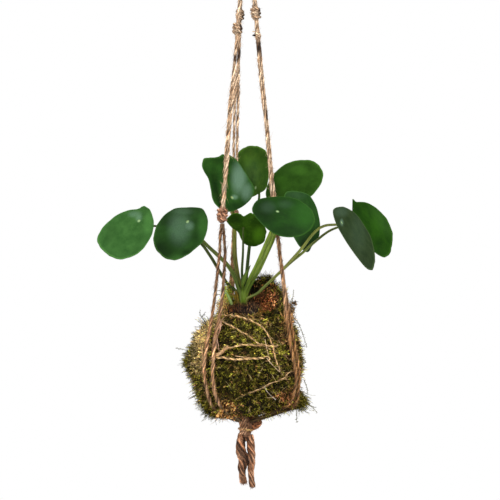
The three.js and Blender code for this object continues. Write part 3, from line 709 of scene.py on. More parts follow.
for seed, (name, row) in enumerate(LEGS.items()):
    rng = np.random.default_rng(100 + seed)
    form = Form()
    for side in (-1, 1):
        route = through(leg_strand(name, side)[::8], 1.5)
        hairy_cord(form, route, STRAND + 0.1, 21, JUTE * rng.uniform(0.9, 1.1), rng)
    rise = GATHER_LOW - MIDDLE_KNOT[0]
    along = unit(UP * rise - bearing_ways(row[0])[0] * LEG_SPREAD * rise)
    for height, tall, wide in row[3]:
        tint = KNOT_TINTS[name] if height == MIDDLE_KNOT[0] else JUTE
        wrapped_knot(form, leg_places(name, [height])[0], along, tall, wide, tint, rng)
    if name == "right":
        slivers(form, 326, -0.1, 12, rng, 0.7, BARK_BLACK)
        slivers(form, 329.5, 0.3, 4, rng, 0.3, PALE_FIBRE, long=3.6)
    darkened(form, DARK_STRETCHES[name])
    form.piece(f"hanger_leg_{name}", jute, "jute", f"leg_{name}")


# %% Slings
LEFT_SWAY = [(70, 0), (45, -1.2), (30, -2.6), (12, -2), (0, 0)]     # of the left leg's second one
LEFT_TURNING = [(MIDDLE_KNOT[0], 60), (128, 0), (0, 0)]
PRESSED_IN = 4.2        # mm that the slings sink into the moss low on the ball
SLING_TAN = np.array((0.53, 0.335, 0.195))
SLING_TRIM = 3.2        # mm taken off at each end, so that the cord starts under its middle knot
SLING_STEP = 1.5


def taut(profile):
    """Keeps the turns that bulge outward, as a taut cord does"""
    kept = []
    for point in profile:
        while len(kept) > 1:
            a, b = kept[-2], kept[-1]
            if (b[0] - a[0]) * (point[1] - a[1]) < (b[1] - a[1]) * (point[0] - a[0]):
                break
            kept.pop()
        kept.append(point)
    return np.array(kept)


def sling_profile(turns, asides, side):
    """How far out a sling is at each height, from the middle knot to the bottom knot"""
    first = asides[0][0]
    profile = [(reach_at(first), first)]
    for tilt in range(62, -79, -4):
        lean = math.radians(tilt)
        rough = BALL_SIDE * math.cos(lean) + 1
        height = BALL_SIDE * math.sin(lean)
        swing = math.degrees(math.asin(min(0.9, value_at(asides, height) / rough)))
        outward = bearing_ways(value_at(turns, height) + side * swing)[0]
        way = outward * math.cos(lean) + UP * math.sin(lean)
        radius = moss_reach(way[None])[0] + SLING_LIFT - PRESSED_IN * smoothstep(-32, -48, height)
        profile.append((radius * math.cos(lean), radius * math.sin(lean)))
    return taut(profile + [(2, -61)])


# %% The line of each sling
def sling_route(name, side):
    _, apart, turns, _, sway, turning = LEGS[name]
    if name == "left":
        turning = LEFT_TURNING
        sway = LEFT_SWAY if side == 1 else [(0, 0)]
    if name == "right":
        sway = [(0, 0)]
    asides = [(MIDDLE_KNOT[0] - 6, STRAND_APART), (100, 0.65 * apart), (20, apart), (-35, apart),
              (-62, 1.8)]
    flat = sling_profile(turns, asides, side)
    gone = length_along(flat)
    places = []
    for reach, height in at_stops(np.linspace(0, gone[-1], 31), gone, flat):
        outward, sideways = bearing_ways(value_at(turns, height))
        aside = value_at(asides, height)
        forward = math.sqrt(max(reach ** 2 - aside ** 2, 1))
        if name == "back":
            aside *= 1 - 0.5 * smoothstep(45, 62, height)
        across = around(math.radians(value_at(turning, height)), sideways, outward, side * aside)
        places.append(outward * forward + across + UP * height + sideways * value_at(sway, height))
    return np.array(places)


# %% Sling pieces
def sling_shade_and_light(name, side, heights):
    """How much lighter or darker the slings are down their length, with painted light all along the
    back ones
    """
    if name == "right":
        return 1 - smoothstep(60, 30, heights) * (0.14, 0.24, 0.46)
    if name == "back":
        # Painted light on the back slings, against the shade of the leaves in front of them
        return 1.5
    shaded = 1.25 - 0.6 * smoothstep(22, 54, heights)
    return shaded * (1 - 0.3 * smoothstep(92, 108, heights)) if side == 1 else shaded


def sling_piece(name, side, seed, number):
    rng = np.random.default_rng(200 + 10 * seed + number)
    form = Form()
    cut = int(round(SLING_TRIM / SLING_STEP))
    route = through(sling_route(name, side), SLING_STEP)[cut:-cut]
    hairy_cord(form, route, STRAND + 0.25, 19, SLING_TAN * rng.uniform(0.86, 1.04), rng)
    hairs(form, route, STRAND, 0.8, 6, SLING_TAN * 1.2, rng, lean=1.6, wide=0.1)
    for i, points in enumerate(form.points):
        blotch = 1 + 0.45 * wander(points, 13.0, 3.0 * seed + number)[:, None]
        heights = points[:, 2:]
        # Darker low on the ball, where the slings sink into the moss
        darker_low = smoothstep(-36, -50, heights) * (0.7, 0.66, 0.7)
        form.tints[i] = (form.tints[i] * np.clip(blotch, 0.55, 1.4) * (1 - darker_low)
                         * sling_shade_and_light(name, side, heights))
    form.piece(f"hanger_sling_{name}_{number}", jute, "jute", f"sling_{name}_{number}")
    return route


sling_routes = [sling_piece(name, side, seed, number) for seed, name in enumerate(LEGS)
                for number, side in enumerate((-1, 1), 1)]

# %% [markdown]
# ## Loop and gathering knot
# The picture cuts the hanger off above its small knots. Such a hanger ends in a loop of the
# same cord whipped with a few tight turns, so that is made here.

# %% Loop and gathering knot
LOOP_LEFT = [(-2.3, 0), (-2.5, 1.5), (-5.4, 7), (-7.6, 14), (-7, 20.5), (-3.6, 26.2)]
WHIP_TURNS = 5.5
rng = np.random.default_rng(300)
form = Form()
low = GATHER_HIGH + GAP
loop_line = through([(x, 0, low + rise) for x, rise in LOOP_LEFT] + [(0, 0, HOOK_TO_BALL + 2)]
                    + [(-x, 0, low + rise) for x, rise in reversed(LOOP_LEFT)], 0.6)
twisted(form, loop_line, 2.05, 10, JUTE, rng)
hairs(form, loop_line, 2, 0.8, 5, JUTE, rng)
form.piece("top_loop", jute, "jute", "hanging_loop")

form = Form()
t = np.linspace(0, 1, 200)
angle = TURN * WHIP_TURNS * t
gather_middle = (GATHER_HIGH + GATHER_LOW) / 2
coil = columns(5.2 * np.cos(angle), 5.2 * np.sin(angle),
               gather_middle + (t - 0.5) * 15.5 + 0.4 * np.sin(3 * angle))
twisted(form, coil, 1.5, 8, JUTE, rng)
hairs(form, coil, 1.5, 0.9, 5, JUTE, rng)
# A darker body under the turns: painted shade between them
bulge = 4.6 - 1.3 * np.abs(np.linspace(-1, 1, 23)) ** 6
tube(form, columns(0, 0, np.linspace(GATHER_LOW, GATHER_HIGH, 23)), bulge, 20, JUTE * 0.7)
form.piece("gathering_wraps", jute, "jute", "gathering_knot")

# %% [markdown]
# ## The knot under the ball
# All the cords are gathered here: a wrapped part on the left, a fat fold that bulges to the
# right, and a band below them. Each is the same heavy jute, so each is a few strands side by
# side.

# %% Bottom knot
def side_by_side(form, route, radius, count, spread, tint, rng):
    """Several strands that run together, as a flat band"""
    _, side, other = frames_along(route)
    for k in range(count):
        off = (k - (count - 1) / 2) * spread
        line = route + side * off + other * (0.35 * radius * math.sin(2.1 * k))
        twisted(form, line, radius, 8.5, np.asarray(tint) * rng.uniform(0.85, 1.15), rng)
        hairs(form, line, radius, 0.7, 4.0, tint, rng, wide=0.11)


def oval(middle, wide, deep, lean):
    """A little more than one turn round an upright axis"""
    a = np.linspace(-0.5, -0.5 + TURN * 1.05, 34)
    x = wide * np.cos(a)
    return through(columns(middle[0] + x, deep * np.sin(a), middle[1] + lean * x), 0.8)


rng = np.random.default_rng(400)
form = Form()
# A dark body under the bands: painted shade between them
tube(form, columns(0.3, 0, np.linspace(-54, -75, 16)),
     6.1 * np.sin(np.linspace(0.75, 2.75, 16)) ** 0.6, 20, ROPE_BROWN * 0.6)
fold = through([(1, 0, -56), (8.5, -1, -55.6), (12.0, -1.5, -59.6), (8.4, -1, -63.6),
                (1, 0, -65.6)], 0.7)
side_by_side(form, fold, 1.6, 4, 1.9, (0.48, 0.22, 0.11), rng)
wrapped = through([(-3.2, -5.2, -54), (-3.4, -6, -60), (-2.6, -6, -66), (-3.4, -5, -72)], 0.7)
side_by_side(form, wrapped, 1.5, 3, 2.3, (0.68, 0.42, 0.27), rng)
between_tails = through([(0.4, -4, -66), (0.3, -3, -72), (0.4, -2, -79)], 0.7)
twisted(form, between_tails, 1.3, -9, (0.20, 0.11, 0.065), rng)
side_by_side(form, oval((-0.6, -67.6), 5.9, 6.6, -0.12), 0.7, 3, 1.1, (0.85, 0.60, 0.26), rng)
form.piece("knot_under_ball", jute, "rope", "bottom_knot")

# %% [markdown]
# ## The binding twine
# Thin pale twine is wound round the moss to keep it on the ball. It sinks into the moss in
# places. Each turn follows the moss at the height that it has on the solid, and a small loop
# ends one of them at the front.

# %% Binding twine
# Each turn: closed or not, its thickness, the bearings between which it lies on top at the
# front, and its places as (bearing, height)
TWINE_TURNS = [
    (True, 0.7, (-60, 35), [(-56, 48), (-24, 47), (0, 44), (12, 41), (24, 35), (30, 21), (35, -2),
                            (60, -22), (100, -36), (150, -34), (200, -16), (250, 16)]),
    (True, 0.65, (-46, 18), [(-50, 43), (-30, 40), (-6, 32), (5, 26), (17, 19), (45, 8), (80, -6),
                             (130, -12), (180, 4), (230, 24), (280, 40)]),
    (True, 0.8, (-36, 37), [(-32, 10), (-20, 15), (0, 19), (17, 18), (39, 18), (70, 24), (110, 34),
                            (160, 36), (210, 24), (260, 4), (300, 0)]),
    (False, 0.95, (-37, 23), [(71, 12), (100, 10), (150, 14), (200, 10), (250, -10), (290, -8),
                              (327, 5.5), (345, 4.5), (359, 4.5), (379, 6)]),
    (True, 0.55, (8, 72), [(66, -7), (50, -9), (42, -15), (29, -19), (18, -24), (-8, -33),
                           (-30, -43), (-70, -44), (-120, -36), (-170, -24), (-220, -8),
                           (-260, -4)]),
]
TWINE_SINKS = 2.6       # mm that a turn sinks where moss has closed over it
# A frayed bundle of fibres where turns cross at the left, and thin ends that have come loose: the
# places of each, how many fibres, how far they spread in degrees or mm, and their colour
LOOSE_ENDS = [
    ([(-29.5, -45, 7.5), (-24, -48, 12), (-18, -50, 16.5)], 9, 1.5, (0.80, 0.58, 0.34)),
    ([(-32, -44, 42), (-34, -47, 30), (-34, -49, 16)], 9, 2.2, (0.72, 0.48, 0.36)),
    ([(21, -54, 6), (25, -53, 1), (30, -50, -4), (35, -48, -8)], 1, 0, (0.85, 0.72, 0.52)),
    ([(20, -54, -22), (24, -52, -27), (31, -48, -32), (39, -42, -36)], 1, 0, (0.95, 0.92, 0.85)),
    ([(-11, -58, 8), (-3, -59, 7), (5, -59, 6)], 1, 0, (0.80, 0.62, 0.38)),
    ([(21.5, -53, 24), (22, -53, 15), (23.5, -53, 8)], 1, 0, (0.85, 0.72, 0.50)),
    ([(-48, -34, 18), (-45, -38, 8), (-43, -40, -2), (-40, -43, -10)], 2, 0.5, (0.9, 0.70, 0.40)),
]


# %% Turns of twine
def twine_route(closed, seen, turns):
    turns = [(a, b, 0) for a, b in turns]
    if closed:
        turn = 360 if turns[-1][0] > turns[0][0] else -360
        turns.append((turns[0][0] + turn, turns[0][1], 0))
    flat = through(turns, 1.25)
    bearing = (flat[:, 0] + 180) % 360 - 180
    on_top = (smoothstep(seen[0] - 5, seen[0] + 2, bearing)
              * smoothstep(seen[1] + 5, seen[1] - 2, bearing))
    behind = (np.abs(bearing) > 95) * smoothstep(-0.1, 0.15, wander(flat, 22.0))
    on_top = np.maximum(on_top, behind)
    uneven = 0.35 * wander(flat, 5.0, 4.0)
    flat[:, 1] += 0.9 * wander(flat, 8.0, 2.0)
    places = over_moss(flat[:, 0], flat[:, 1], TWINE_LIFT - TWINE_SINKS * (1 - on_top) + uneven)
    return places, places[on_top > 0.5]


def twine_turn(form, closed, thick, seen, turns, rng):
    """Adds one turn of twine, and gives its places that lie on top of the moss"""
    route, on_top = twine_route(closed, seen, turns)
    tint = TWINE_TAN * rng.uniform(0.85, 1.15)
    uneven = thick * (1 + 0.25 * wander(route, 7.0, 6.0) + 0.15 * wander(route, 2.5, 7.0))
    twisted(form, route, uneven, 7.5, tint, rng, plies=3, sides=5)
    hairs(form, route, thick, 0.9, 5, tint, rng, lean=1.6, wide=0.1)
    hairs(form, route, thick, 4.0, 14, tint * 1.1, rng, lean=5, wide=0.14)
    return on_top


# %% Loop and loose ends of the twine
def twine_eye(form):
    """The small loop that ends a turn at the front"""
    knot = over_moss(np.array([19.0]), np.array([6.0]), TWINE_LIFT)[0]
    side = unit(np.cross(unit(knot), UP))
    angle = np.linspace(0.5, 5.2, 22)
    line = (knot + np.outer(2.9 * np.cos(angle) - 2.8, side)
            + np.outer(1.7 * np.sin(angle) - 0.3 * angle, UP))
    tube(form, through(line, 0.6), 0.4, 6, TWINE_TAN * 1.15)


def loose_end(form, places, count, spread, colour, rng):
    x, y, heights = np.array(places, float).T
    bearing = np.degrees(np.arctan2(x, -y))
    for _ in range(count):
        off = np.zeros((len(places), 2))
        if count > 1:
            off = rng.normal(scale=spread, size=off.shape)
        line = over_moss(bearing + off[:, 0], heights + off[:, 1],
                         TWINE_LIFT + rng.uniform(0.2, 1.4))
        tube(form, through(line, 0.9), 0.34, 5, np.array(colour) * rng.uniform(0.8, 1.2))


rng = np.random.default_rng(500)
form = Form()
twine_on_top = np.concatenate([twine_turn(form, *row, rng) for row in TWINE_TURNS])
twine_eye(form)
for row in LOOSE_ENDS:
    loose_end(form, *row, rng)
form.piece("twine_round_moss", jute, "twine", "binding_twine")

# %% [markdown]
# ## Moss
# Sheet moss is a mat of tiny shoots, each four to seven millimetres long and set with small
# pointed leaves, lying every way but mostly outward. Dry parts are golden or red-brown, and
# the gaps between shoots are nearly black. Hair particles would do this, but they aren't part
# of a mesh, so each leaf is a small form of four triangles, and they are laid down by the
# thousand in arrays. Under them lies a rough mat, darkened as painted shade, that closes the
# gaps.

# %% Moss material
def moss_material(name, rough_scale):
    web = material_web(name)
    speck = web.grain(web.node("TexCoord", {}, {}, "Object"), rough_scale, 3, 0.6)
    lighter = web.ramp(speck, (0.3, (0.55, 0.55, 0.5)), (0.7, (1.35, 1.35, 1.2)))
    return web.surface(Base_Color=web.times(web.attribute("tint", 0), lighter),
                       Roughness=0.72 + 0.2 * speck, Specular_IOR_Level=0.1,
                       Normal=web.bump(speck, 0.4, 0.0004))


moss = moss_material("moss", 900)
moss_mat = moss_material("moss_mat", 500)

# The near-black end of the moss greens: the darkest shoots' own colour, and painted shade in the
# gaps between shoots
DARK_GREEN = np.array((0.012, 0.011, 0.002))
OLIVE = np.array((0.295, 0.248, 0.03))
BRIGHT = np.array((0.69, 0.65, 0.095))
GOLD = np.array((1.0, 0.72, 0.29))
RED_BROWN = np.array((0.62, 0.27, 0.12))
BROWN = np.array((0.46, 0.25, 0.10))

# %% Colours of the moss
# Each patch on the front: its middle across and up, its half width and half height, its
# colour and how full it is
FRONT_PATCHES = [
    (-42, 22, 8, 22, GOLD, 0.85), (-38, 34, 8, 12, GOLD, 0.5), (-46, 2, 7, 13, GOLD, 0.6),
    (17, 61, 14, 13, 1.65 * RED_BROWN, 0.95), (14, 78, 8, 7, 2.3 * OLIVE, 0.8),
    (25, 46, 15, 8, 0.5 * OLIVE, 0.8), (-49, 14, 4, 22, 0.3 * OLIVE, 0.8),
    (38, 29, 10, 14, 0.8 * BROWN, 0.85),
    (-17, -44, 15, 12, 2.6 * BROWN, 0.88), (38, -31, 14, 7, 1.3 * RED_BROWN, 0.65),
    (-18, 52, 10, 8, BROWN, 0.6), (2, 44, 22, 7, BROWN, 0.35), (46, 8, 8, 26, 0.45 * BROWN, 0.6),
    (56, 4, 7, 36, 0.4 * OLIVE, 0.75), (23, -18, 12, 17, 0.5 * OLIVE, 0.55),
]
FRONT = 14              # patches on the front end this far behind the ball's middle
# Each patch elsewhere: its middle, how far it reaches, its colour and how full it is
BACK_PATCHES = [
    ((20, 52, 20), 20, BROWN, 0.6), ((-34, 40, -20), 18, GOLD, 0.5),
    ((30, 42, -30), 16, RED_BROWN, 0.6), ((-40, 34, 20), 14, RED_BROWN, 0.4),
]


def moss_tint(points, rng):
    """A colour for each shoot: by luck and by clump, and then by the patch that it is in"""
    count = len(points)
    luck = rng.uniform(size=(count, 1))
    drift = wander(points, 11.0, 3.1)[:, None] * 0.9 + 0.5
    clump = smoothstep(-0.35, 0.4, wander(points, 2.8, 17.0))[:, None]
    shade = np.clip(0.5 * clump * (0.35 + 0.65 * luck) + 1.25 * luck ** 5, 0, 1)
    # Shoots near the dark end stand in for painted shade between them as well as dark moss
    colour = DARK_GREEN + (OLIVE - DARK_GREEN) * shade
    dry = rng.uniform(size=(count, 1)) < 0.2
    colour = np.where(dry, BROWN * (0.1 + 1.3 * shade), colour)
    fleck = (rng.uniform(size=(count, 1)) < 0.09 + 0.45 * drift * clump) * (0.25 + 0.75 * luck)
    colour = colour + (BRIGHT - colour) * fleck
    edge = wander(points, 6.0, 9.0) * 0.45
    x, y, z = points.T
    for across, height, wide, tall, patch, full in FRONT_PATCHES:
        near = np.hypot((x - across) / wide, (z - height) / tall) + edge
        share = full * smoothstep(1.1, 0.55, near) * (y < FRONT)
        taken = (rng.uniform(size=count) < share)[:, None]
        colour = np.where(taken, patch * (0.06 + 1.85 * shade), colour)
    for middle, reach, patch, full in BACK_PATCHES:
        near = np.linalg.norm(points - np.array(middle), axis=1) / reach + edge
        taken = (rng.uniform(size=count) < full * smoothstep(1.0, 0.5, near))[:, None]
        colour = np.where(taken, patch * (0.2 + 1.35 * shade), colour)
    return colour


# %% Moss mat
# Where the moss swells over the cords or stands up in a clump, beyond the solid: the way to each,
# how high and how wide in degrees
MOSS_SWELLS = [
    ((-29, -14, -51), 3.5, 13), ((20, -8, -53), -1.8, 11), ((47, -6, -42), 2, 12),
    ((-19, 3, 64), 13, 7),
]
MAT_INSIDE = 45.6       # how far out the inside of the mat lies
MAT_SIDES = 170
# The mat is painted shade: it shows only in the gaps between shoots
MAT_PAINTED_SHADE = 0.14         # the mat is this share of the shoots' colour


def moss_surface(ways):
    """How far the dressed moss reaches, rougher than the solid"""
    base = moss_reach(ways) + swell(ways, MOSS_SWELLS)
    places = ways * base[:, None]
    return base + 1.6 * wander(places, 9.0) + 1.0 * wander(places, 3.2, 5.0) - 1.0


def around_opening(polar, turn):
    """Ways at an angle from the opening, and so far round it, in degrees"""
    side = unit(np.cross((1, 0, 0), OPENING))
    polar, turn = np.radians(polar), np.radians(turn)
    along = np.cos(polar)[..., None] * OPENING
    return along + around(turn, side, np.cross(OPENING, side), np.sin(polar))


def opening_rings(polars, sides):
    return around_opening(np.array(polars, float)[:, None],
                          np.linspace(0, 360, sides, endpoint=False))


rng = np.random.default_rng(600)
outer = opening_rings(np.linspace(178.5, 17.5, 86), MAT_SIDES)
outer = outer * moss_surface(outer.reshape(-1, 3)).reshape(-1, MAT_SIDES, 1)
inner = opening_rings(np.linspace(17.5, 178, 11), MAT_SIDES) * MAT_INSIDE
rings = np.concatenate([outer, inner])
form = Form()
lump(form, rings, moss_tint(rings.reshape(-1, 3), rng).reshape(rings.shape) * MAT_PAINTED_SHADE)
form.piece("moss_mat", moss_mat, "moss", "moss_wrap")

# %% Moss shoots
LEAVES_ON_SHOOT = 8
BRIGHTEST_LEAF = 5.0


def moss_shoots(form, root, way, long, colour, rng):
    """Each shoot is a curved row of small pointed leaves that lean out from it"""
    count = len(root)
    way = unit(way)
    droop = rng.normal(scale=0.3, size=(count, 3)) - UP * 0.15
    side = unit(np.cross(way, rng.normal(size=(count, 3))))
    other = np.cross(way, side)
    wide = rng.uniform(0.16, 0.30, count)
    for k in range(LEAVES_ON_SHOOT):
        t = (k + 0.5) / LEAVES_ON_SHOOT
        place = root + (way + droop * t) * (long * t * 0.8)[:, None]
        out = around(2.4 * k + rng.uniform(-0.5, 0.5, count), side, other)
        leaf_way = way + droop * 2 * t + out * (1.2 - 0.9 * t)
        leaf_long = np.clip(long * 0.5, 1.7, 4.2) * (1.15 - 0.35 * t)
        lit = colour * np.minimum(rng.lognormal(0.42, 1.05, (count, 1)), BRIGHTEST_LEAF)
        # Each leaf is darkest at its root and low on the shoot, as painted shade deep in the moss,
        # and paler out at its tip
        leaflets(form, place, leaf_way, leaf_long, wide, lit * (0.1 + 0.5 * t),
                 lit * (0.6 + 1.0 * t))


# %% Where twine and slings lie
twine_tree = kdtree.KDTree(len(twine_on_top))
for place in twine_on_top:
    twine_tree.insert(place, 0)
twine_tree.balance()
# The left leg's second sling stays bare further down than the others
buried = np.array([place for number, route in enumerate(sling_routes) for place in route
                   if (-48 if number == 1 else -36) > place[2] > -55])
print(len(buried), "places where the cords lie under the moss")


# %% Shoots all over the ball
SHOOT_PIECES = 4
SHOOTS = 2780           # in each piece, spread over the whole ball
STRAY = 0.012           # share of shoots that stand far off
TWINE_ROOM = 3.4        # shoots nearer to the twine than this lie flat


def lying(root, ways, rng):
    """The ways that shoots lie: outward, but combed into tangles by a smooth flow"""
    flow = columns(*(wander(root, 6.5, seed) for seed in (11.0, 23.0, 37.0)))
    tangle = flow * 1.6 + rng.normal(scale=0.4, size=root.shape)
    return tangle - ways * np.sum(tangle * ways, axis=1, keepdims=True)


def on_surface(ways, off):
    return ways * (moss_surface(ways) + off)[:, None]


def shoots_everywhere(form, rng):
    ways = unit(rng.normal(size=(int(SHOOTS * 1.08), 3)))
    ways = ways[degrees_between(ways, OPENING) > OPENING_ANGLE - 1.5][:SHOOTS]
    count = len(ways)
    root = on_surface(ways, -0.8)
    close = np.array([twine_tree.find(place)[2] for place in root]) < TWINE_ROOM
    upright = rng.uniform(0.3, 1.25, count)
    long = rng.uniform(3.6, 7.0, count)
    long += 2.5 * smoothstep(66, 80, root[:, 2])
    long *= 1 - 0.4 * smoothstep(-32, -48, root[:, 2])
    stray = rng.uniform(size=count) < STRAY
    long[stray] *= rng.uniform(1.3, 1.9, stray.sum())
    upright[close] *= 0.15
    long[close] *= 0.7
    way = ways * upright[:, None] + lying(root, ways, rng)
    moss_shoots(form, root, way, long, moss_tint(root, rng), rng)


def shoots_over_cords(form, rng):
    chosen = buried[rng.uniform(size=len(buried)) < 0.7]
    ways = unit(chosen + rng.normal(scale=1.5, size=chosen.shape))
    root = on_surface(ways, -0.5)
    depth = np.linalg.norm(chosen, axis=1) - np.linalg.norm(root, axis=1)
    long = np.clip(depth + rng.uniform(1.5, 3.0, len(root)), 3, 9)
    way = ways + 0.4 * lying(root, ways, rng)
    moss_shoots(form, root, way, long, moss_tint(root, rng), rng)


# %% Where tufts and clumps stand
# Tufts that stand out of the ball: middle, how wide, how many shoots, their length, their way
# and their colour where it isn't the moss's own
TUFTS = [
    ((-20, 0, 66), 5.5, 150, (4, 7), (-0.2, -0.4, 0.7), BRIGHT),   # behind the pale shoot
    ((-17, -6, 56), 4.0, 70, (4, 8), (-0.2, -0.3, 0.8), GOLD),
    ((54, -8, -40), 7.0, 160, (7, 12), (0.9, -0.1, -0.2), 0.7 * OLIVE),  # lower right corner
    ((44, -16, -42), 7.0, 90, (4, 7), (0.3, -0.8, -0.2), None),
    ((12, -10, -56), 6.0, 70, (3, 5), (0.3, -0.5, -0.6), None),
    ((28, -10, -52), 8.0, 90, (3, 5), (0.3, -0.5, -0.7), None),
    ((-36, -16, -46), 7.0, 70, (5, 8), (-0.8, -0.3, -0.3), 0.6 * OLIVE),
    ((-30, -20, -48), 8.0, 80, (4, 7), (-0.4, -0.4, -0.6), None),  # lower left corner
    ((-44, -14, -36), 8.0, 40, (5, 8), (-0.8, -0.1, -0.4), None),
    ((19, 24, 80), 8.0, 90, (5, 9), (0, 0, 1), None),              # top of the mound
    ((34, 14, 68), 7.0, 60, (5, 8), (0.5, 0, 0.8), None),
    ((-60, -6, 0), 9.0, 110, (5, 9), (-1, -0.1, 0.1), 0.6 * OLIVE),  # left side
    ((-45, -10, 40), 3.0, 8, (8, 13), (-0.7, 0, 0.8), None),
    ((49, -8, 52), 4.5, 150, (6, 10), (0.6, -0.3, 0.6), 1.7 * BROWN),   # right shoulder
    ((54, -4, 36), 4.0, 20, (6, 10), (0.9, 0, 0.1), None),
    ((10, -16, 58), 7.0, 90, (3, 6), (-0.3, -0.3, 0.8), None),     # rim of the opening
    ((-8, -27, 51), 6.0, 60, (3, 5), (0, -0.3, 0.9), None),
    ((-17, -18, 52), 5.0, 50, (4, 8), (-0.2, -0.1, 1), None),
]
# Granular clumps that stand up off the ball: middle, how wide each way, how many, colour
CLUMPS = [
    ((-18.5, -5, 67), (2.2, 2.2, 5.0), 280, (0.66, 0.72, 0.08)),  # behind the pale shoot
    ((-23, -9, 56), (3.5, 2.5, 4.0), 150, GOLD),
    ((-12.3, -17.5, 55.5), (1.5, 0.8, 1.6), 50, 0.25 * BROWN),    # in front of its foot
    ((44.5, 0, 52), (2.2, 2.0, 3.8), 170, 0.4 * BROWN),           # right of the right slings
    ((48.5, 0, 59), (1.1, 1.0, 1.0), 30, 0.15 * BROWN),
]
# Loose stems that stand off the ball, each by the places along it
LOOSE_STEMS = [
    [(44, -4, 46), (50, -5, 42), (55, -6, 33), (58, -6, 24), (61, -6, 15)],
    [(42, 0, 56), (46, 0, 62), (48, 0, 72)],
    [(-40, -12, 40), (-45, -13, 46), (-46, -13, 52)],
    [(-41, -12, 40), (-43, -13, 45), (-41, -13, 50)],
    [(-54, -10, 10), (-63, -11, 13), (-70, -11, 14)],
    [(46, -14, -20), (56, -15, -30), (61, -15, -41), (70, -15, -45)],
    [(54, -12, -36), (62, -12, -41), (71, -12, -50)],
    [(50, -10, -44), (50.5, -10, -52), (50.5, -10, -60)],
    [(58, -10, -18), (61, -10, -26), (61, -10, -33)],
    [(-46, -12, -30), (-53, -12, -34), (-57, -12, -36)],
    [(-31, -30, 72), (-28, -30, 71.5), (-25, -29, 72.5)],
    [(-31, -30, 67), (-27, -30, 68), (-25, -29, 67)],
    [(-32, -31, 59), (-28, -30, 59.5), (-24, -29, 58)],
]
DRY_GRAINS = 480
STRAW_TAN = np.array((0.9, 0.68, 0.36))


# %% Tufts, grains and straws
def tufts(form, rng):
    for middle, wide, count, (short, long), lean, colour in TUFTS:
        share = count // SHOOT_PIECES + 1
        ways = unit(np.array(middle) + rng.normal(scale=wide * 0.6, size=(share, 3)))
        root = on_surface(ways, -0.5)
        way = np.array(lean) + ways * 0.4 + rng.normal(scale=0.3, size=(share, 3))
        tint = moss_tint(root, rng)
        if colour is not None:
            tint = colour * rng.uniform(0.08, 0.9, (share, 1))
        moss_shoots(form, root, way, rng.uniform(short, long, share), tint, rng)


def dry_grains(form, rng):
    """The red-brown grains of dry moss right of the crown"""
    place = columns(rng.normal(16, 6, DRY_GRAINS), rng.normal(-5, 8, DRY_GRAINS),
                    rng.normal(63.5, 6.5, DRY_GRAINS))
    ways = unit(place)
    ways = ways[degrees_between(ways, OPENING) > OPENING_ANGLE]
    count = len(ways)
    root = on_surface(ways, rng.uniform(0.5, 2.6, count))
    tint = np.where(rng.uniform(size=(count, 1)) < 0.75, RED_BROWN, OLIVE)
    tint = tint * (1.45, 1.05, 0.95) * rng.uniform(0.02, 1.6, (count, 1)) ** 2
    leaflets(form, root, rng.normal(size=root.shape), rng.uniform(0.9, 1.7, count),
             rng.uniform(0.3, 0.55, count), tint, tint * 1.2)


def clumps(form, rng):
    for middle, spread, count, colour in CLUMPS:
        root = np.array(middle) + rng.normal(size=(count, 3)) * spread
        tint = np.where(rng.uniform(size=(count, 1)) < 0.88, colour, BROWN)
        tint = tint * rng.uniform(0.15, 2.6, (count, 1))
        leaflets(form, root, rng.normal(size=root.shape), rng.uniform(1.2, 2.4, count),
                 rng.uniform(0.3, 0.6, count), tint * 0.7, tint * 1.2)


def straws(form, rng):
    """Pale dry stems that lie over the moss, most of them on the golden left side"""
    left_side = np.array((-42, -24, 20)), (4, 8, 16)
    ways = unit(np.concatenate([rng.normal(size=(90, 3)),
                                left_side[0] + rng.normal(size=(110, 3)) * left_side[1]]))
    ways = ways[degrees_between(ways, OPENING) > OPENING_ANGLE]
    count = len(ways)
    root = on_surface(ways, rng.uniform(1.0, 3.0, count))
    way = lying(root, ways, rng) + 0.25 * ways
    tint = STRAW_TAN * rng.uniform(0.35, 1.3, (count, 1))
    spikes(form, root, way, rng.normal(scale=0.2, size=root.shape), rng.uniform(4, 11, count),
           rng.uniform(0.1, 0.2, count), tint, tint * 1.2)


def loose_stems(form, rng):
    for places in LOOSE_STEMS:
        route = through(places, 0.8)
        tint = DARK_GREEN + (OLIVE - DARK_GREEN) * rng.uniform(0.1, 0.6)
        tube(form, route, np.linspace(0.3, 0.16, len(route)), 4, tint)
        root = np.repeat(route, 2, axis=0)
        leaflets(form, root, rng.normal(size=root.shape), rng.uniform(1.0, 2.2, len(root)), 0.28,
                 tint, tint * 1.6)


# %% All the moss shoots
for number in range(SHOOT_PIECES):
    rng = np.random.default_rng(700 + number)
    form = Form()
    for laid in (shoots_everywhere, shoots_over_cords, tufts, dry_grains, clumps, straws):
        laid(form, rng)
    if number == 0:
        loose_stems(form, rng)
    form.piece(f"moss_shoots_{number + 1}", moss, "moss", "moss_wrap")

# %% [markdown]
# ## Soil
# The bare soil shows only at the crown, dark and crumbly with hairy roots. The ball of soil
# is whole under the moss, and crumbs and roots are added where it shows.

# %% Soil
SOIL_TOP, SOIL_RADIUS = 59, 44.1
CRUMBS, ROOTS = 320, 700
BARE_RINGS = (0.6, 2, 4, 6, 8, 10, 12, 14, 15.4, 16.4)      # degrees from the opening's middle
COVERED_RINGS = (16.8, 24, 32, 44, 56, 70, 84, 98, 112, 126, 140, 154, 168, 178)
CRUMB_RINGS = ((0.6, -0.7), (1.0, -0.2), (0.95, 0.3), (0.5, 0.8))       # width and height


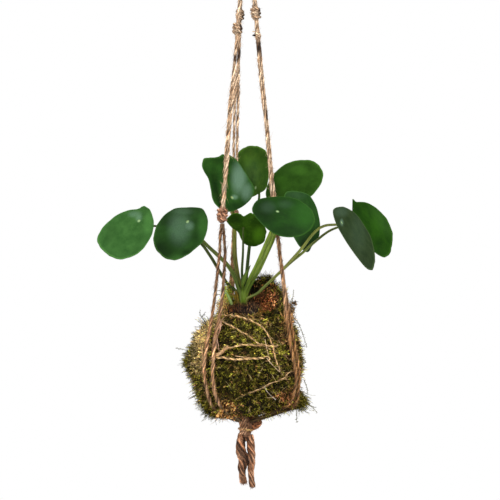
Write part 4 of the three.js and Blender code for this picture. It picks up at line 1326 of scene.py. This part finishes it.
def soil_material():
    web = material_web("soil")
    crumbs = web.grain(web.node("TexCoord", {}, {}, "Object"), 380, 5, 0.7)
    colour = web.ramp(crumbs, (0.3, (0.006, 0.004, 0.003)), (0.55, (0.024, 0.015, 0.009)),
                      (0.75, (0.10, 0.06, 0.035)))
    return web.surface(Base_Color=web.times(colour, web.attribute("tint", 0)),
                       Roughness=0.8 + 0.15 * crumbs, Specular_IOR_Level=0.3,
                       Normal=web.bump(crumbs, 0.8, 0.001))


def crumb(form, rng):
    way = around_opening(16 * math.sqrt(rng.uniform()), rng.uniform(0, 360))
    size = rng.uniform(0.35, 1.1)
    a = np.linspace(0, TURN, 7, endpoint=False)
    rings = [way * (SOIL_TOP - 1.4) + size * columns(w * np.cos(a), w * np.sin(a), h)
             + rng.normal(scale=0.16 * size, size=(7, 3)) for w, h in CRUMB_RINGS]
    lump(form, rings, rng.uniform(0.6, 2.2))


def roots(form, rng):
    ways = around_opening(17.5 * np.sqrt(rng.uniform(size=ROOTS)), rng.uniform(0, 360, ROOTS))
    browner = smoothstep(0, -12, (ways * SOIL_TOP)[:, :1] + 3)
    tint = (2.0, 1.5, 1.0) + browner * (1.4, 0.3, -0.2)
    tint = tint * rng.uniform(0, 1.7, (ROOTS, 1)) ** 3.5 * 1.6
    spikes(form, ways * (SOIL_TOP - 2.2), ways * 1.2 + rng.normal(scale=0.5, size=(ROOTS, 3)),
           rng.normal(scale=0.25, size=(ROOTS, 3)), rng.uniform(2.5, 7, ROOTS), 0.2, tint, tint)


rng = np.random.default_rng(800)
form = Form()
bare = opening_rings(BARE_RINGS, 90)
flat = bare.reshape(-1, 3) * SOIL_TOP
lumpy = SOIL_TOP - 1.6 + 0.9 * wander(flat, 4.0) + 0.7 * wander(flat, 1.6, 2.0)
lump(form, np.concatenate([bare * lumpy.reshape(-1, 90, 1),
                           opening_rings(COVERED_RINGS, 90) * SOIL_RADIUS]))
for _ in range(CRUMBS):
    crumb(form, rng)
roots(form, rng)
form.piece("soil_and_roots", soil_material(), "soil", "soil_ball")


# %% [markdown]
# ## Leaf and stalk materials
# The leaves are smooth and slightly waxy. They are a deep green with a paler rim, a pale spot
# where the stalk joins, and faint veins that run out from it. The lay of a leaf's points says
# where they are on the blade, so the veins can be drawn with a sine of the angle. Its tint
# carries three painted marks: a pale painted sheen, painted shade where the blade is darkest
# and painted light where it is brightest.

# %% Leaf materials
def leaf_material(name, deep, fresh, veins, roughness, back):
    web = material_web(name)
    x, y, share = web.parts("SeparateXYZ", web.attribute("lay", 1))
    # The tint's three marks: painted sheen, painted shade and painted light
    sheen_mark, dark, bright = web.parts("SeparateColor", web.attribute("tint", 0))
    out = web.node("Math", {"operation": "SQRT"}, {0: x * x + y * y})
    angle = web.node("Math", {"operation": "ARCTAN2"}, {0: y, 1: x})
    where = web.node("CombineXYZ", {}, {0: x, 1: y, 2: 0.0})
    cloud = web.grain(where, 0.9, 3)
    mottle = web.grain(where, 9.0, 4, 0.65)
    wobble = web.grain(where, 1.6, 2)
    ray = web.node("Math", {"operation": "SINE"}, {0: angle * 4.5 + wobble * 5.0})
    ray = web.node("Math", {"operation": "ABSOLUTE"}, {0: ray})
    vein = (1 - ray) ** 9.0 * veins * web.between(out, 0.1, 2.8, 1.0, 0.15)
    body = web.blend(web.between(cloud, 0.32, 0.68), deep, fresh)
    body = web.blend(web.between(mottle, 0.3, 0.75, 0.0, 0.35), body, fresh)
    red, green, blue = fresh
    body = web.blend(vein, body, (red * 1.9 + 0.02, green * 1.9 + 0.02, blue * 1.9 + 0.004))
    # Painted light, painted shade and a pale painted sheen on the blade, where the marks say
    body = web.blend(bright * (0.4 + 1.2 * mottle), body, tuple(c * 2.1 for c in fresh))
    body = web.blend(dark, body, tuple(c * 0.45 for c in deep))
    body = web.blend(sheen_mark * (0.2 + 1.6 * mottle), body, (0.17, 0.29, 0.20))
    body = web.blend(web.between(share, 0.96, 0.99, 0.0, 0.6), body,
                     (red * 1.6 + 0.015, green * 1.6 + 0.02, blue * 1.6 + 0.006))
    body = web.blend(web.between(out, 0.06, 0.21, 0.0 if back else 0.9, 0.0), body,
                     (0.30, 0.44, 0.20))
    return web.surface(Base_Color=body, Roughness=roughness + 0.12 * mottle,
                       Specular_IOR_Level=0.04,
                       Normal=web.bump(mottle * 0.5 + vein, 0.22, 0.0006))


def stalk_material(name, low, high):
    web = material_web(name)
    streak = web.grain(web.stretched(web.attribute("lay", 1), 1.4, 1.4, 0.05), 2.0, 3)
    colour = web.blend(web.between(streak, 0.35, 0.68), low, high)
    return web.surface(Base_Color=web.times(colour, web.attribute("tint", 0)),
                       Roughness=0.42 + 0.15 * streak, Specular_IOR_Level=0.25,
                       Normal=web.bump(streak, 0.25, 0.0004))


# For each leaf, two greens, how plain its veins are and how rough it is. The greens are set
# to how light or dark each leaf looks, so beside its own green they carry painted light and
# painted shade for that leaf.
LEAF_GREENS = [
    ((0.018, 0.068, 0.012), (0.040, 0.118, 0.025), 0.2, 0.42),
    ((0.007, 0.027, 0.004), (0.016, 0.054, 0.009), 0.12, 0.36),
    ((0.010, 0.044, 0.006), (0.023, 0.078, 0.010), 0.12, 0.34),
    ((0.021, 0.068, 0.006), (0.054, 0.122, 0.013), 0.3, 0.42),
    ((0.013, 0.045, 0.003), (0.028, 0.085, 0.008), 0.18, 0.40),
    ((0.005, 0.025, 0.002), (0.010, 0.046, 0.004), 0.14, 0.36),
    ((0.011, 0.044, 0.006), (0.022, 0.074, 0.013), 0.12, 0.42),
    ((0.018, 0.062, 0.003), (0.046, 0.125, 0.006), 0.5, 0.48),
    ((0.013, 0.028, 0.008), (0.026, 0.046, 0.015), 0.1, 0.52),
    ((0.006, 0.031, 0.001), (0.014, 0.056, 0.002), 0.15, 0.42),
]
UNDERSIDE_SEEN = 8      # the number of the leaf that is seen from below
leaf_looks = [leaf_material(f"leaf_{number}", *greens, number == UNDERSIDE_SEEN)
              for number, greens in enumerate(LEAF_GREENS, 1)]
stalk = stalk_material("stalk", (0.08, 0.13, 0.018), (0.27, 0.36, 0.07))
print(len(leaf_looks), "leaf greens")

# %% Marks on the leaves
# Painted light and shade on the leaves: a pale painted sheen with small painted highlights,
# painted shade where the blade is darkest and painted light where it is brightest, seen from
# the front: middle across and up, half width, half height, how strong
# Painted sheen and painted highlights
PAINTED_SHEEN = {
    1: [(-112, 148, 8, 4, 0.3), (-108, 145, 4, 5, 0.35)],
    2: [(-66, 134, 13, 19, 0.22), (-57, 136, 6, 6, 0.35), (-64, 150, 12, 5, 0.15)],
    3: [(-7, 184, 9, 19, 0.7), (0, 171, 7, 11, 0.55), (-11, 165, 4, 3, 0.5)],
    4: [(6, 190, 10, 16, 0.06)], 6: [(39, 157, 9, 5, 0.06), (22, 154, 9, 7, 0.08)],
    9: [(95, 150, 8, 6, 0.12), (112, 130, 10, 22, 0.06), (95, 139.5, 2, 4, 0.45)],
    7: [(52, 167, 12, 5, 0.06)],
}
# Painted shade
DARKEST = {
    1: [(-136, 128, 8, 12, 0.25)],
    2: [(-84, 112, 15, 14, 0.8), (-80, 142, 12, 8, 0.5), (-54, 108, 12, 7, 0.5),
        (-70, 120, 10, 12, 0.35)],
    3: [(-34, 176, 8, 26, 0.45), (-12, 155, 16, 6, 0.6), (-23, 200, 14, 5, 0.35)],
    4: [(-4, 198, 5, 12, 0.4), (18, 207, 8, 6, 0.3)],
    5: [(28, 174, 9, 12, 0.5), (60, 172, 14, 10, 0.25)],
    6: [(18, 150, 17, 16, 0.6), (40, 130, 24, 6, 0.4)], 7: [(58, 116, 12, 10, 0.7)],
    8: [(-12, 143, 9, 6, 0.7), (10, 140, 8, 8, 0.4)], 9: [(120, 100, 8, 14, 0.2)],
    10: [(134, 118, 8, 16, 0.25), (112, 150, 5, 14, 0.3)],
}
# Painted light
BRIGHTEST = {
    1: [(-98, 138, 6, 14, 0.3)], 2: [(-42, 137, 7, 17, 0.6), (-66, 104, 14, 4, 0.4)],
    3: [(-32, 195, 8, 8, 0.35)], 4: [(2, 202, 6, 9, 0.4)],
    5: [(36, 180, 10, 12, 0.35), (54, 193, 11, 6, 0.3)], 6: [(58, 147, 15, 17, 0.5)],
    8: [(13, 127, 7, 10, 0.8), (-3, 128, 4, 6, 0.4)], 10: [(134, 140, 10, 18, 0.3)],
}


def marks_at(points, spots):
    """How strongly the given spots mark each point, from 0 to 1"""
    total = np.zeros(len(points))
    for across, height, wide, tall, strength in spots:
        near = np.hypot((points[:, 0] - across) / wide, (points[:, 2] - height) / tall)
        total = np.maximum(total, strength * smoothstep(1.25, 0.25, near))
    return total


# %% [markdown]
# ## The leaves
# Each blade is nearly round and stands on its stalk like a shield. Seen from the front its
# outline is what makes it recognisable, so the outline is drawn from the front, and
# the blade's tilt and cup give the depth. A subdivided disc would have given ten equal leaves.

# %% Leaf shapes
CROWN_AT = np.array((-3, -9, 68.0))
# middle, way it faces, radius, joint, cup, fold, the side of the crown it leaves, stalk,
# stalk radius at the foot and at the top, outline seen from the front
LEAVES = [
    ((-120, 14, 129), (-0.394, -0.755, 0.525), 30.5, (-107.5, 141), 3, 0, (-0.8, 0.25, 0.55),
     [(-11.5, -6, 72.5), (-16.8, -5, 76.4), (-22.5, -4, 84), (-29, -4, 95), (-36, -4, 106.5),
      (-46, -4, 119.5), (-66, 0, 134), (-91, 15, 136)], (1.5, 1.0),
     [(-148, 123), (-143, 134), (-134, 143), (-126, 148.5), (-116, 152), (-108, 153),
      (-102.5, 156), (-99, 154.5), (-96, 152), (-93, 144), (-92.3, 137), (-94, 128), (-98, 120),
      (-104, 112), (-111, 107), (-121, 103.5), (-129, 103.5), (-138, 108), (-145, 115)]),
    ((-65, -16, 128), (-0.38, -0.79, 0.48), 31, (-58, 140), 4, 0, (-0.62, -0.45, 0.64),
     [(-7.5, -12.5, 74), (-11, -13, 84.5), (-15.5, -13, 93), (-23.5, -13, 102.5),
      (-41.5, -14, 119.5)], (1.9, 1.4),
     [(-92, 124), (-89, 136), (-82, 146), (-74, 152), (-68, 154), (-59, 154.5), (-50, 154.5),
      (-43, 152.5), (-38.5, 143), (-39, 132), (-43, 121), (-50, 114), (-59, 107), (-69, 102.5),
      (-77, 103), (-83, 106), (-90, 114)]),
    ((-17, 1, 180), (0.56, -0.69, 0.45), 31, (-14, 164), 4, 5, (-0.25, 0.45, 0.86),
     [(-8.2, 0, 86), (-10.8, 9, 103), (-11.5, 14, 117), (-11.5, 12, 133), (-13, 6, 148)],
     (2.0, 1.6),
     [(-43.5, 195), (-42, 202), (-36, 203.5), (-28, 204), (-23, 207), (-15, 206), (-8, 200),
      (-2, 191), (3, 183), (7, 177), (8, 171), (6, 165), (1, 159), (-6, 154), (-15, 150.5),
      (-22, 151), (-29, 156), (-33, 162), (-35, 172), (-37, 182), (-41, 189)]),
    ((7, 42, 189), (-0.77, -0.63, 0.1), 27, (10, 175), 3, 0, (0.25, 0.75, 0.6),
     [(0, 6, 82), (1, 14, 92), (3.5, 26, 116), (8, 38, 145), (13, 43, 163)], (1.6, 1.1),
     [(-9, 206), (-4, 212), (3.6, 215.2), (12.5, 214.6), (19, 211), (22.2, 204), (22.8, 195),
      (22.5, 184), (19.5, 173), (12.6, 168.4), (6, 165), (0, 165), (-5, 170), (-9, 182),
      (-11, 195)]),
    ((48, 48, 179), (-0.365, -0.68, 0.635), 31, (44, 166), 3, 0, (0.68, 0.36, 0.64),
     [(7, -3, 86), (13.5, 4, 100), (20, 14, 114), (28, 24, 130), (38, 35, 149)], (1.8, 1.6),
     [(20, 170), (23, 180), (28, 188), (35, 194.3), (42, 198.6), (51, 201), (58, 201.5),
      (66, 200.6), (71.5, 197), (75.5, 191.6), (76.7, 186.3), (75, 179), (70.6, 172),
      (64, 165), (52, 159), (38, 156), (26, 159), (21, 164)]),
    ((37, -57, 143.5), (0.15, -0.6, 0.78), 31.8, (31, 149.5), 1.5, 0, (0.35, -0.55, 0.76),
     [(3.5, -17, 82), (11, -25, 97), (20.5, -37, 119), (27, -45, 135)], (1.9, 1.8),
     [(6.3, 153.2), (9.9, 160.4), (16, 163.5), (26.9, 165), (39.4, 165), (50, 163), (57.2, 159),
      (64.4, 153.2), (67.9, 146.1), (68.4, 140), (64.4, 132.7), (57.2, 127.4), (48.3, 125.1),
      (35.8, 125.6), (26.9, 129.1), (19.7, 134.5), (12.6, 141.6), (7.7, 147.9)]),
    ((58, 4.5, 141), (0.84, -0.51, 0.17), 31, (54, 150), 3, 0, (0.72, -0.1, 0.69),
     [(7, -10, 82), (13, -10, 92), (20, -9, 107), (25.5, -6, 119), (30, -2, 129), (37, 2, 138),
      (44, 4.5, 145)], (1.7, 1.6),
     [(39.4, 168.4), (44.7, 170.7), (52.8, 170.2), (61.7, 167.5), (67, 161.3), (70.6, 153.2),
      (73.3, 141.6), (73.7, 132.7), (71.9, 123.8), (66, 116.6), (62.6, 110.8), (58, 111.3),
      (52.8, 116.6), (47.8, 124.7), (43.5, 135), (40, 148), (38, 160)]),
    ((0, -6, 131), (0.1, 0.8, 0.59), 21, (-2.5, 134), 1.5, 0, (-0.02, -0.12, 1),
     [(-4, -10, 90), (-3, -9, 110)], (1.2, 0.9),
     [(-19.6, 141.6), (-15.1, 147), (-10.6, 148.8), (-5.3, 147.9), (-2.6, 145.7), (1.9, 147.9),
      (5.4, 149), (12.6, 143.4), (17.9, 136.3), (20.2, 131), (19.3, 125.6), (17.9, 120.2),
      (14.4, 118), (9, 115.7), (3.6, 116.2), (-1.7, 118.4), (-5.3, 123.8), (-8, 130),
      (-14.2, 134.5)]),
    ((109, -12, 124), (0.8, -0.36, 0.47), 34, (94.6, 139), 3, 0, (0.88, -0.4, 0.25),
     [(11, -13, 68.6), (19.6, -14, 76.6), (31.6, -15, 87.8), (38, -16, 94), (54.5, -20, 112.5),
      (67.5, -20, 129), (78, -19, 136)], (1.25, 1.2),
     [(87, 151.5), (93.5, 155), (100, 154), (109, 148), (116, 138.5), (124, 124.4),
      (127.7, 108), (127, 97.3), (124.4, 92.4), (118.5, 95), (109, 107), (99, 122), (90, 138.5)]),
    ((124, 34, 133.5), (0.72, -0.56, 0.41), 32.5, (107, 140), 3, 0, (0.93, 0.3, 0.2),
     [(11, -6, 68.6), (20, -5, 77), (31, -6, 87), (45, -11, 100), (56, -15, 109), (66, -13, 118),
      (81.6, 3, 130), (94, 13, 135.5)], (1.15, 1.05),
     [(106.5, 163), (110, 160), (118.5, 159.6), (128, 155), (139, 144), (144.5, 132),
      (145.6, 124.4), (143.4, 110.3), (139, 105.4), (134, 106), (128, 110.3), (120, 119),
      (112, 134), (108, 148)]),
]
STALK_TINTS = [(0.5, 0.5, 0.5), (0.85, 0.8, 0.8), (1.45, 1.05, 1.15), (0.4, 0.5, 0.5),
               (0.8, 0.85, 0.8), (1.05, 1.1, 0.7), (1.05, 1.1, 0.7), (0.45, 0.5, 0.5),
               (1.25, 1.0, 1.15), (0.9, 0.8, 0.8)]

# %% Blades
SECTORS, RINGS, STALK_SIDES = 72, 22, 14


def seen_from_camera(points):
    """Moves places drawn on the picture's plane out or in along the camera's own lines"""
    away = 1 + points[:, 1:2] / (1000 * CAMERA_AWAY)
    middle = np.array((1000 * PICTURE_MIDDLE[0], 0, 1000 * PICTURE_MIDDLE[1] + HOOK_TO_BALL))
    return points * (0, 1, 0) + (middle + (points - middle) * away) * (1, 0, 1)


def on_plane(x, z, joint, face):
    """How far back a place across and up is on the plane of a leaf"""
    return joint[1] - (face[0] * (x - joint[0]) + face[2] * (z - joint[2])) / face[1]


def blade_rim(outline, joint, face, number, radius):
    """Places across and up round the rim, slightly uneven"""
    rim = through([(x, 0, z) for x, z in outline], 0.5, closed=True)
    for _ in range(3):
        rim[:, 1] = on_plane(rim[:, 0], rim[:, 2], joint, face)
    rim = seen_from_camera(rim)
    gone = length_along(rim)
    rim = at_stops(np.linspace(0, gone[-1], SECTORS, endpoint=False), gone, rim[:, [0, 2]])
    turn = round_angles(SECTORS)
    nicks = 0.1 * np.sin(13 * turn + number) + 0.08 * np.sin(23 * turn - 2 * number)
    return joint[[0, 2]] + (rim - joint[[0, 2]]) * (1 + nicks / radius)[:, None]


def blade(form, number, leaf, joint, face, dimple):
    """The blade, as rings from the joint out over its face and back under it"""
    middle, _, radius, _, cup, fold, _, _, _, outline = leaf
    along = unit(middle - joint)
    across = np.cross(face, along)
    rim = blade_rim(outline, joint, face, number, radius)
    wave = np.random.default_rng(900 + number).uniform(0, 6, 2)

    def ring(share, half):
        x, z = (joint[[0, 2]] + (rim - joint[[0, 2]]) * share).T
        flat = columns(x, on_plane(x, z, joint, face), z) - joint
        u, v = flat @ along, flat @ across
        out = (u ** 2 + v ** 2) / radius ** 2
        angle = np.arctan2(v, u)
        ripple = 0.35 * out * (np.sin(3 * angle + wave[0]) + 0.6 * np.sin(7 * angle + wave[1]))
        crease = np.where(v < 0, 1, -0.2)
        bend = cup * out - fold * out * crease + ripple - 0.5 * np.exp(-out * 60)
        thick = half * (0.5 - 0.28 * share)
        place = joint + flat + np.outer(bend / face[1], (0, 1, 0)) + face * thick
        return place, columns(u / 10, v / 10, share)

    shares = np.linspace(0, 1, RINGS + 1)[1:] ** 0.9
    rows = [ring(s, 1) for s in shares] + [ring(1.012, 0)] + [ring(s, -1) for s in shares[::-1]]
    rings, lays = (np.array(part) for part in zip(*rows))
    ends = np.stack([joint + face * 0.5 + dimple, joint - face * 0.5 + dimple])
    points = np.concatenate([rings.reshape(-1, 3), ends])
    marks = columns(*(marks_at(points, table.get(number, []))
                      for table in (PAINTED_SHEEN, DARKEST, BRIGHTEST)))
    lays = np.concatenate([lays.reshape(-1, 3), np.zeros((2, 3))])
    skin(form, rings, ends, marks, lays)


# %% Stalks
def leaf_stalk(form, number, leaf, joint, face, dimple):
    """The stalk, from inside the crown to the back of the blade"""
    x, y, z = unit(leaf[6])
    foot = CROWN_AT + (2.5 * x, 2.5 * y, -13)
    neck = CROWN_AT + (4.2 * x, 4.2 * y, 9 * z - 7)
    at_foot, at_top = leaf[8]
    route = through([foot, neck, *leaf[7], joint - face * 3.5, joint - face * 0.6 + dimple], 1.2)
    t = np.linspace(0, 1, len(route))
    gone = length_along(route)
    radii = at_foot + (at_top - at_foot) * smoothstep(0, 0.9, t)
    radii = radii * (1 + 0.25 * np.sin(math.pi * t)) + 0.4 * np.exp(-(gone[-1] - gone) / 1.5)
    shaded = np.exp(-((gone - 24) / 11) ** 2)[:, None]
    tint = 1 + (np.array((0.55, 0.62, 0.45)) - 1) * shaded
    tube(form, route, radii, STALK_SIDES, tint * STALK_TINTS[number - 1])


# %% The ten leaves
for number, leaf in enumerate(LEAVES, 1):
    face = unit(leaf[1])
    joint = np.array((leaf[3][0], 0, leaf[3][1]), float)
    joint[1] = on_plane(joint[0], joint[2], leaf[0], face)
    dimple = np.array((0, -0.5 / face[1], 0))
    form = Form()
    blade(form, number, leaf, joint, face, dimple)
    blade_quads = len(form.quads[0])
    leaf_stalk(form, number, leaf, joint, face, dimple)
    thing = form.piece(f"leaf_blade_{number}", leaf_looks[number - 1], "leaf", f"leaf_{number}")
    thing.data.materials.append(stalk)
    # A form's quads come before its triangles, and the blade's before the stalk's
    slots = np.ones(len(thing.data.polygons), int)
    fans = len(slots) - 2 * (SECTORS + STALK_SIDES)
    slots[:blade_quads] = 0
    slots[fans:fans + 2 * SECTORS] = 0
    thing.data.polygons.foreach_set("material_index", slots)

# %% [markdown]
# ## Crown, young leaf and shoot
# The stalks grow from one short stem, hidden among papery brown scales. A young leaf is still
# rolled to a point, and a pale shoot starts beside it.

# %% Crown
SCALES, FOOT_ROOTS = 110, 90
STEM_HEIGHTS = np.linspace(51, 76, 22)
STEM_RADII = np.interp(STEM_HEIGHTS, [51, 58, 63, 70, 76], [2.8, 3.8, 4.3, 4.0, 1.4])
crown_look = stalk_material("crown", (0.06, 0.12, 0.004), (0.18, 0.27, 0.02))
young_look = stalk_material("young_leaf", (0.05, 0.10, 0.008), (0.15, 0.23, 0.02))
shoot_look = stalk_material("shoot", (0.16, 0.27, 0.05), (0.34, 0.44, 0.14))


def stem_ring(z):
    a = round_angles(40)
    lobes = 1 + 0.10 * np.sin(5 * a + z / 3) + 0.05 * np.sin(9 * a - z / 2)
    out = np.interp(z, STEM_HEIGHTS, STEM_RADII) * lobes
    return columns(CROWN_AT[0] + out * np.cos(a), CROWN_AT[1] + out * np.sin(a), z)


def scales(form, rng):
    """Brown scales at the left of the stem"""
    a = rng.uniform(2.4, 4.3, SCALES)
    z = rng.uniform(54, 68, SCALES)
    out = columns(np.cos(a), np.sin(a), 0)
    reach = np.interp(z, STEM_HEIGHTS, STEM_RADII)[:, None] * 0.85
    root = CROWN_AT * (1, 1, 0) + out * reach + z[:, None] * UP - (2.8, 0, 0)
    tint = np.array((1.5, 0.6, 0.8)) * rng.uniform(0.3, 2.4, (SCALES, 1))
    spikes(form, root, out * 0.5 + UP, out * 0.2, rng.uniform(3, 6, SCALES),
           rng.uniform(0.3, 0.9, SCALES), tint, tint * 0.8)


def foot_roots(form, rng):
    """Fine dark roots in front of the stem's foot"""
    root = columns(rng.uniform(-8, 2, FOOT_ROOTS), rng.uniform(-14.6, -12.6, FOOT_ROOTS),
                   rng.uniform(52, 57.5, FOOT_ROOTS))
    spikes(form, root, rng.normal(scale=0.3, size=root.shape) + UP, np.zeros(root.shape),
           rng.uniform(2, 6.5, FOOT_ROOTS), 0.17, (0.25, 0.08, 0.1),
           np.array((0.9, 0.4, 0.5)) * rng.uniform(0.1, 2, (FOOT_ROOTS, 1)))


rng = np.random.default_rng(1000)
form = Form()
lump(form, [stem_ring(z) for z in STEM_HEIGHTS[::-1]])
scales(form, rng)
foot_roots(form, rng)
form.piece("crown_stem", crown_look, "crown", "stem_crown")


# %% Young leaf and shoot
def bud(name, places, widest, look, slot, node, tip_tint=(1, 1, 1)):
    """A leaf that is still rolled: a round body with a rolled lip at each side"""
    form = Form()
    route = through(places, 0.8)
    t = np.linspace(0, 1, len(route))
    body = widest * np.sin(math.pi * t ** 0.8)
    tint = 1 + smoothstep(0.7, 0.95, t)[:, None] * (np.array(tip_tint) - 1)
    _, side, other = frames_along(route)
    tube(form, route, 0.25 + body, 16, tint)
    for way in (side, -side):
        lip = route + way * (body * 0.62)[:, None] + other * 0.3
        tube(form, lip, 0.12 + body * 0.45, 10, tint * 1.25)
    form.piece(name, look, slot, node)


bud("young_rolled_leaf", [(-3.9, -13.6, 73.8), (-3, -16.5, 79), (-1.5, -17.5, 84), (1, -18, 90),
                          (4.5, -18.5, 97)], 1.9, young_look, "young_leaf", "young_leaf",
    tip_tint=(0.3, 0.3, 0.3))
bud("pale_shoot", [(-12, -14.5, 50), (-13.4, -15, 55), (-15, -15, 60), (-17.6, -15.5, 66),
                   (-20.6, -16, 71.5), (-22, -17, 76)], 1.3, shoot_look, "shoot", "side_shoot")

# %% [markdown]
# ## Light and backdrop
# The picture is a cut-out on pure white with large soft lights. A white world gives the
# backdrop, and is dimmer as a light than it looks, so that the moss keeps its dark gaps. One
# large soft light stands high on the right and a weaker one on the left. A pale floor lies
# far below, out of the picture, for the views from above.

# %% Light
FLOOR_HEIGHT, FLOOR_RADIUS = -1.6, 8        # m
scene = bpy.context.scene
scene.view_settings.view_transform = "Standard"
scene.world = bpy.data.worlds.new("studio")
web = Web(scene.world)
seen = web.node("Background", {}, {"Color": (1, 1, 1)})
fill = web.node("Background", {}, {"Color": (1, 1, 1), "Strength": 0.42})
to_camera = web.node("LightPath", {}, {}, "Is Camera Ray")
shown = web.node("MixShader", {}, {0: to_camera, 1: fill, 2: seen})
web.node("OutputWorld", {}, {"Surface": shown})


def soft_light(name, place, size, power):
    data = bpy.data.lights.new(name, "AREA")
    data.shape = "SQUARE"
    data.size = size
    data.energy = power
    lamp = bpy.data.objects.new(name, data)
    lamp.location = place
    aim = Vector((0, 0, -0.4)) - Vector(place)
    lamp.rotation_euler = aim.to_track_quat("-Z", "Y").to_euler()
    scene.collection.objects.link(lamp)


soft_light("key", (1.4, -1.3, 0.9), 1.2, 46)
soft_light("left", (-1.4, -1.3, 0.7), 1.2, 34)
soft_light("top", (0, 0.2, 1.6), 1.0, 7)

floor_mesh = bpy.data.meshes.new("floor")
floor_mesh.from_pydata([(FLOOR_RADIUS * math.cos(a), FLOOR_RADIUS * math.sin(a), FLOOR_HEIGHT)
                        for a in round_angles(64)], [], [list(range(64))])
web = material_web("pale_floor")
grain = web.grain(web.node("TexCoord", {}, {}, "Object"), 6.0)
floor_mesh.materials.append(web.surface(
    Base_Color=web.blend(grain, (0.86, 0.86, 0.86), (0.92, 0.92, 0.92)), Roughness=0.9))
floor = bpy.data.objects.new("floor", floor_mesh)
scene.collection.objects.link(floor)
print("lights:", len(bpy.data.lights))
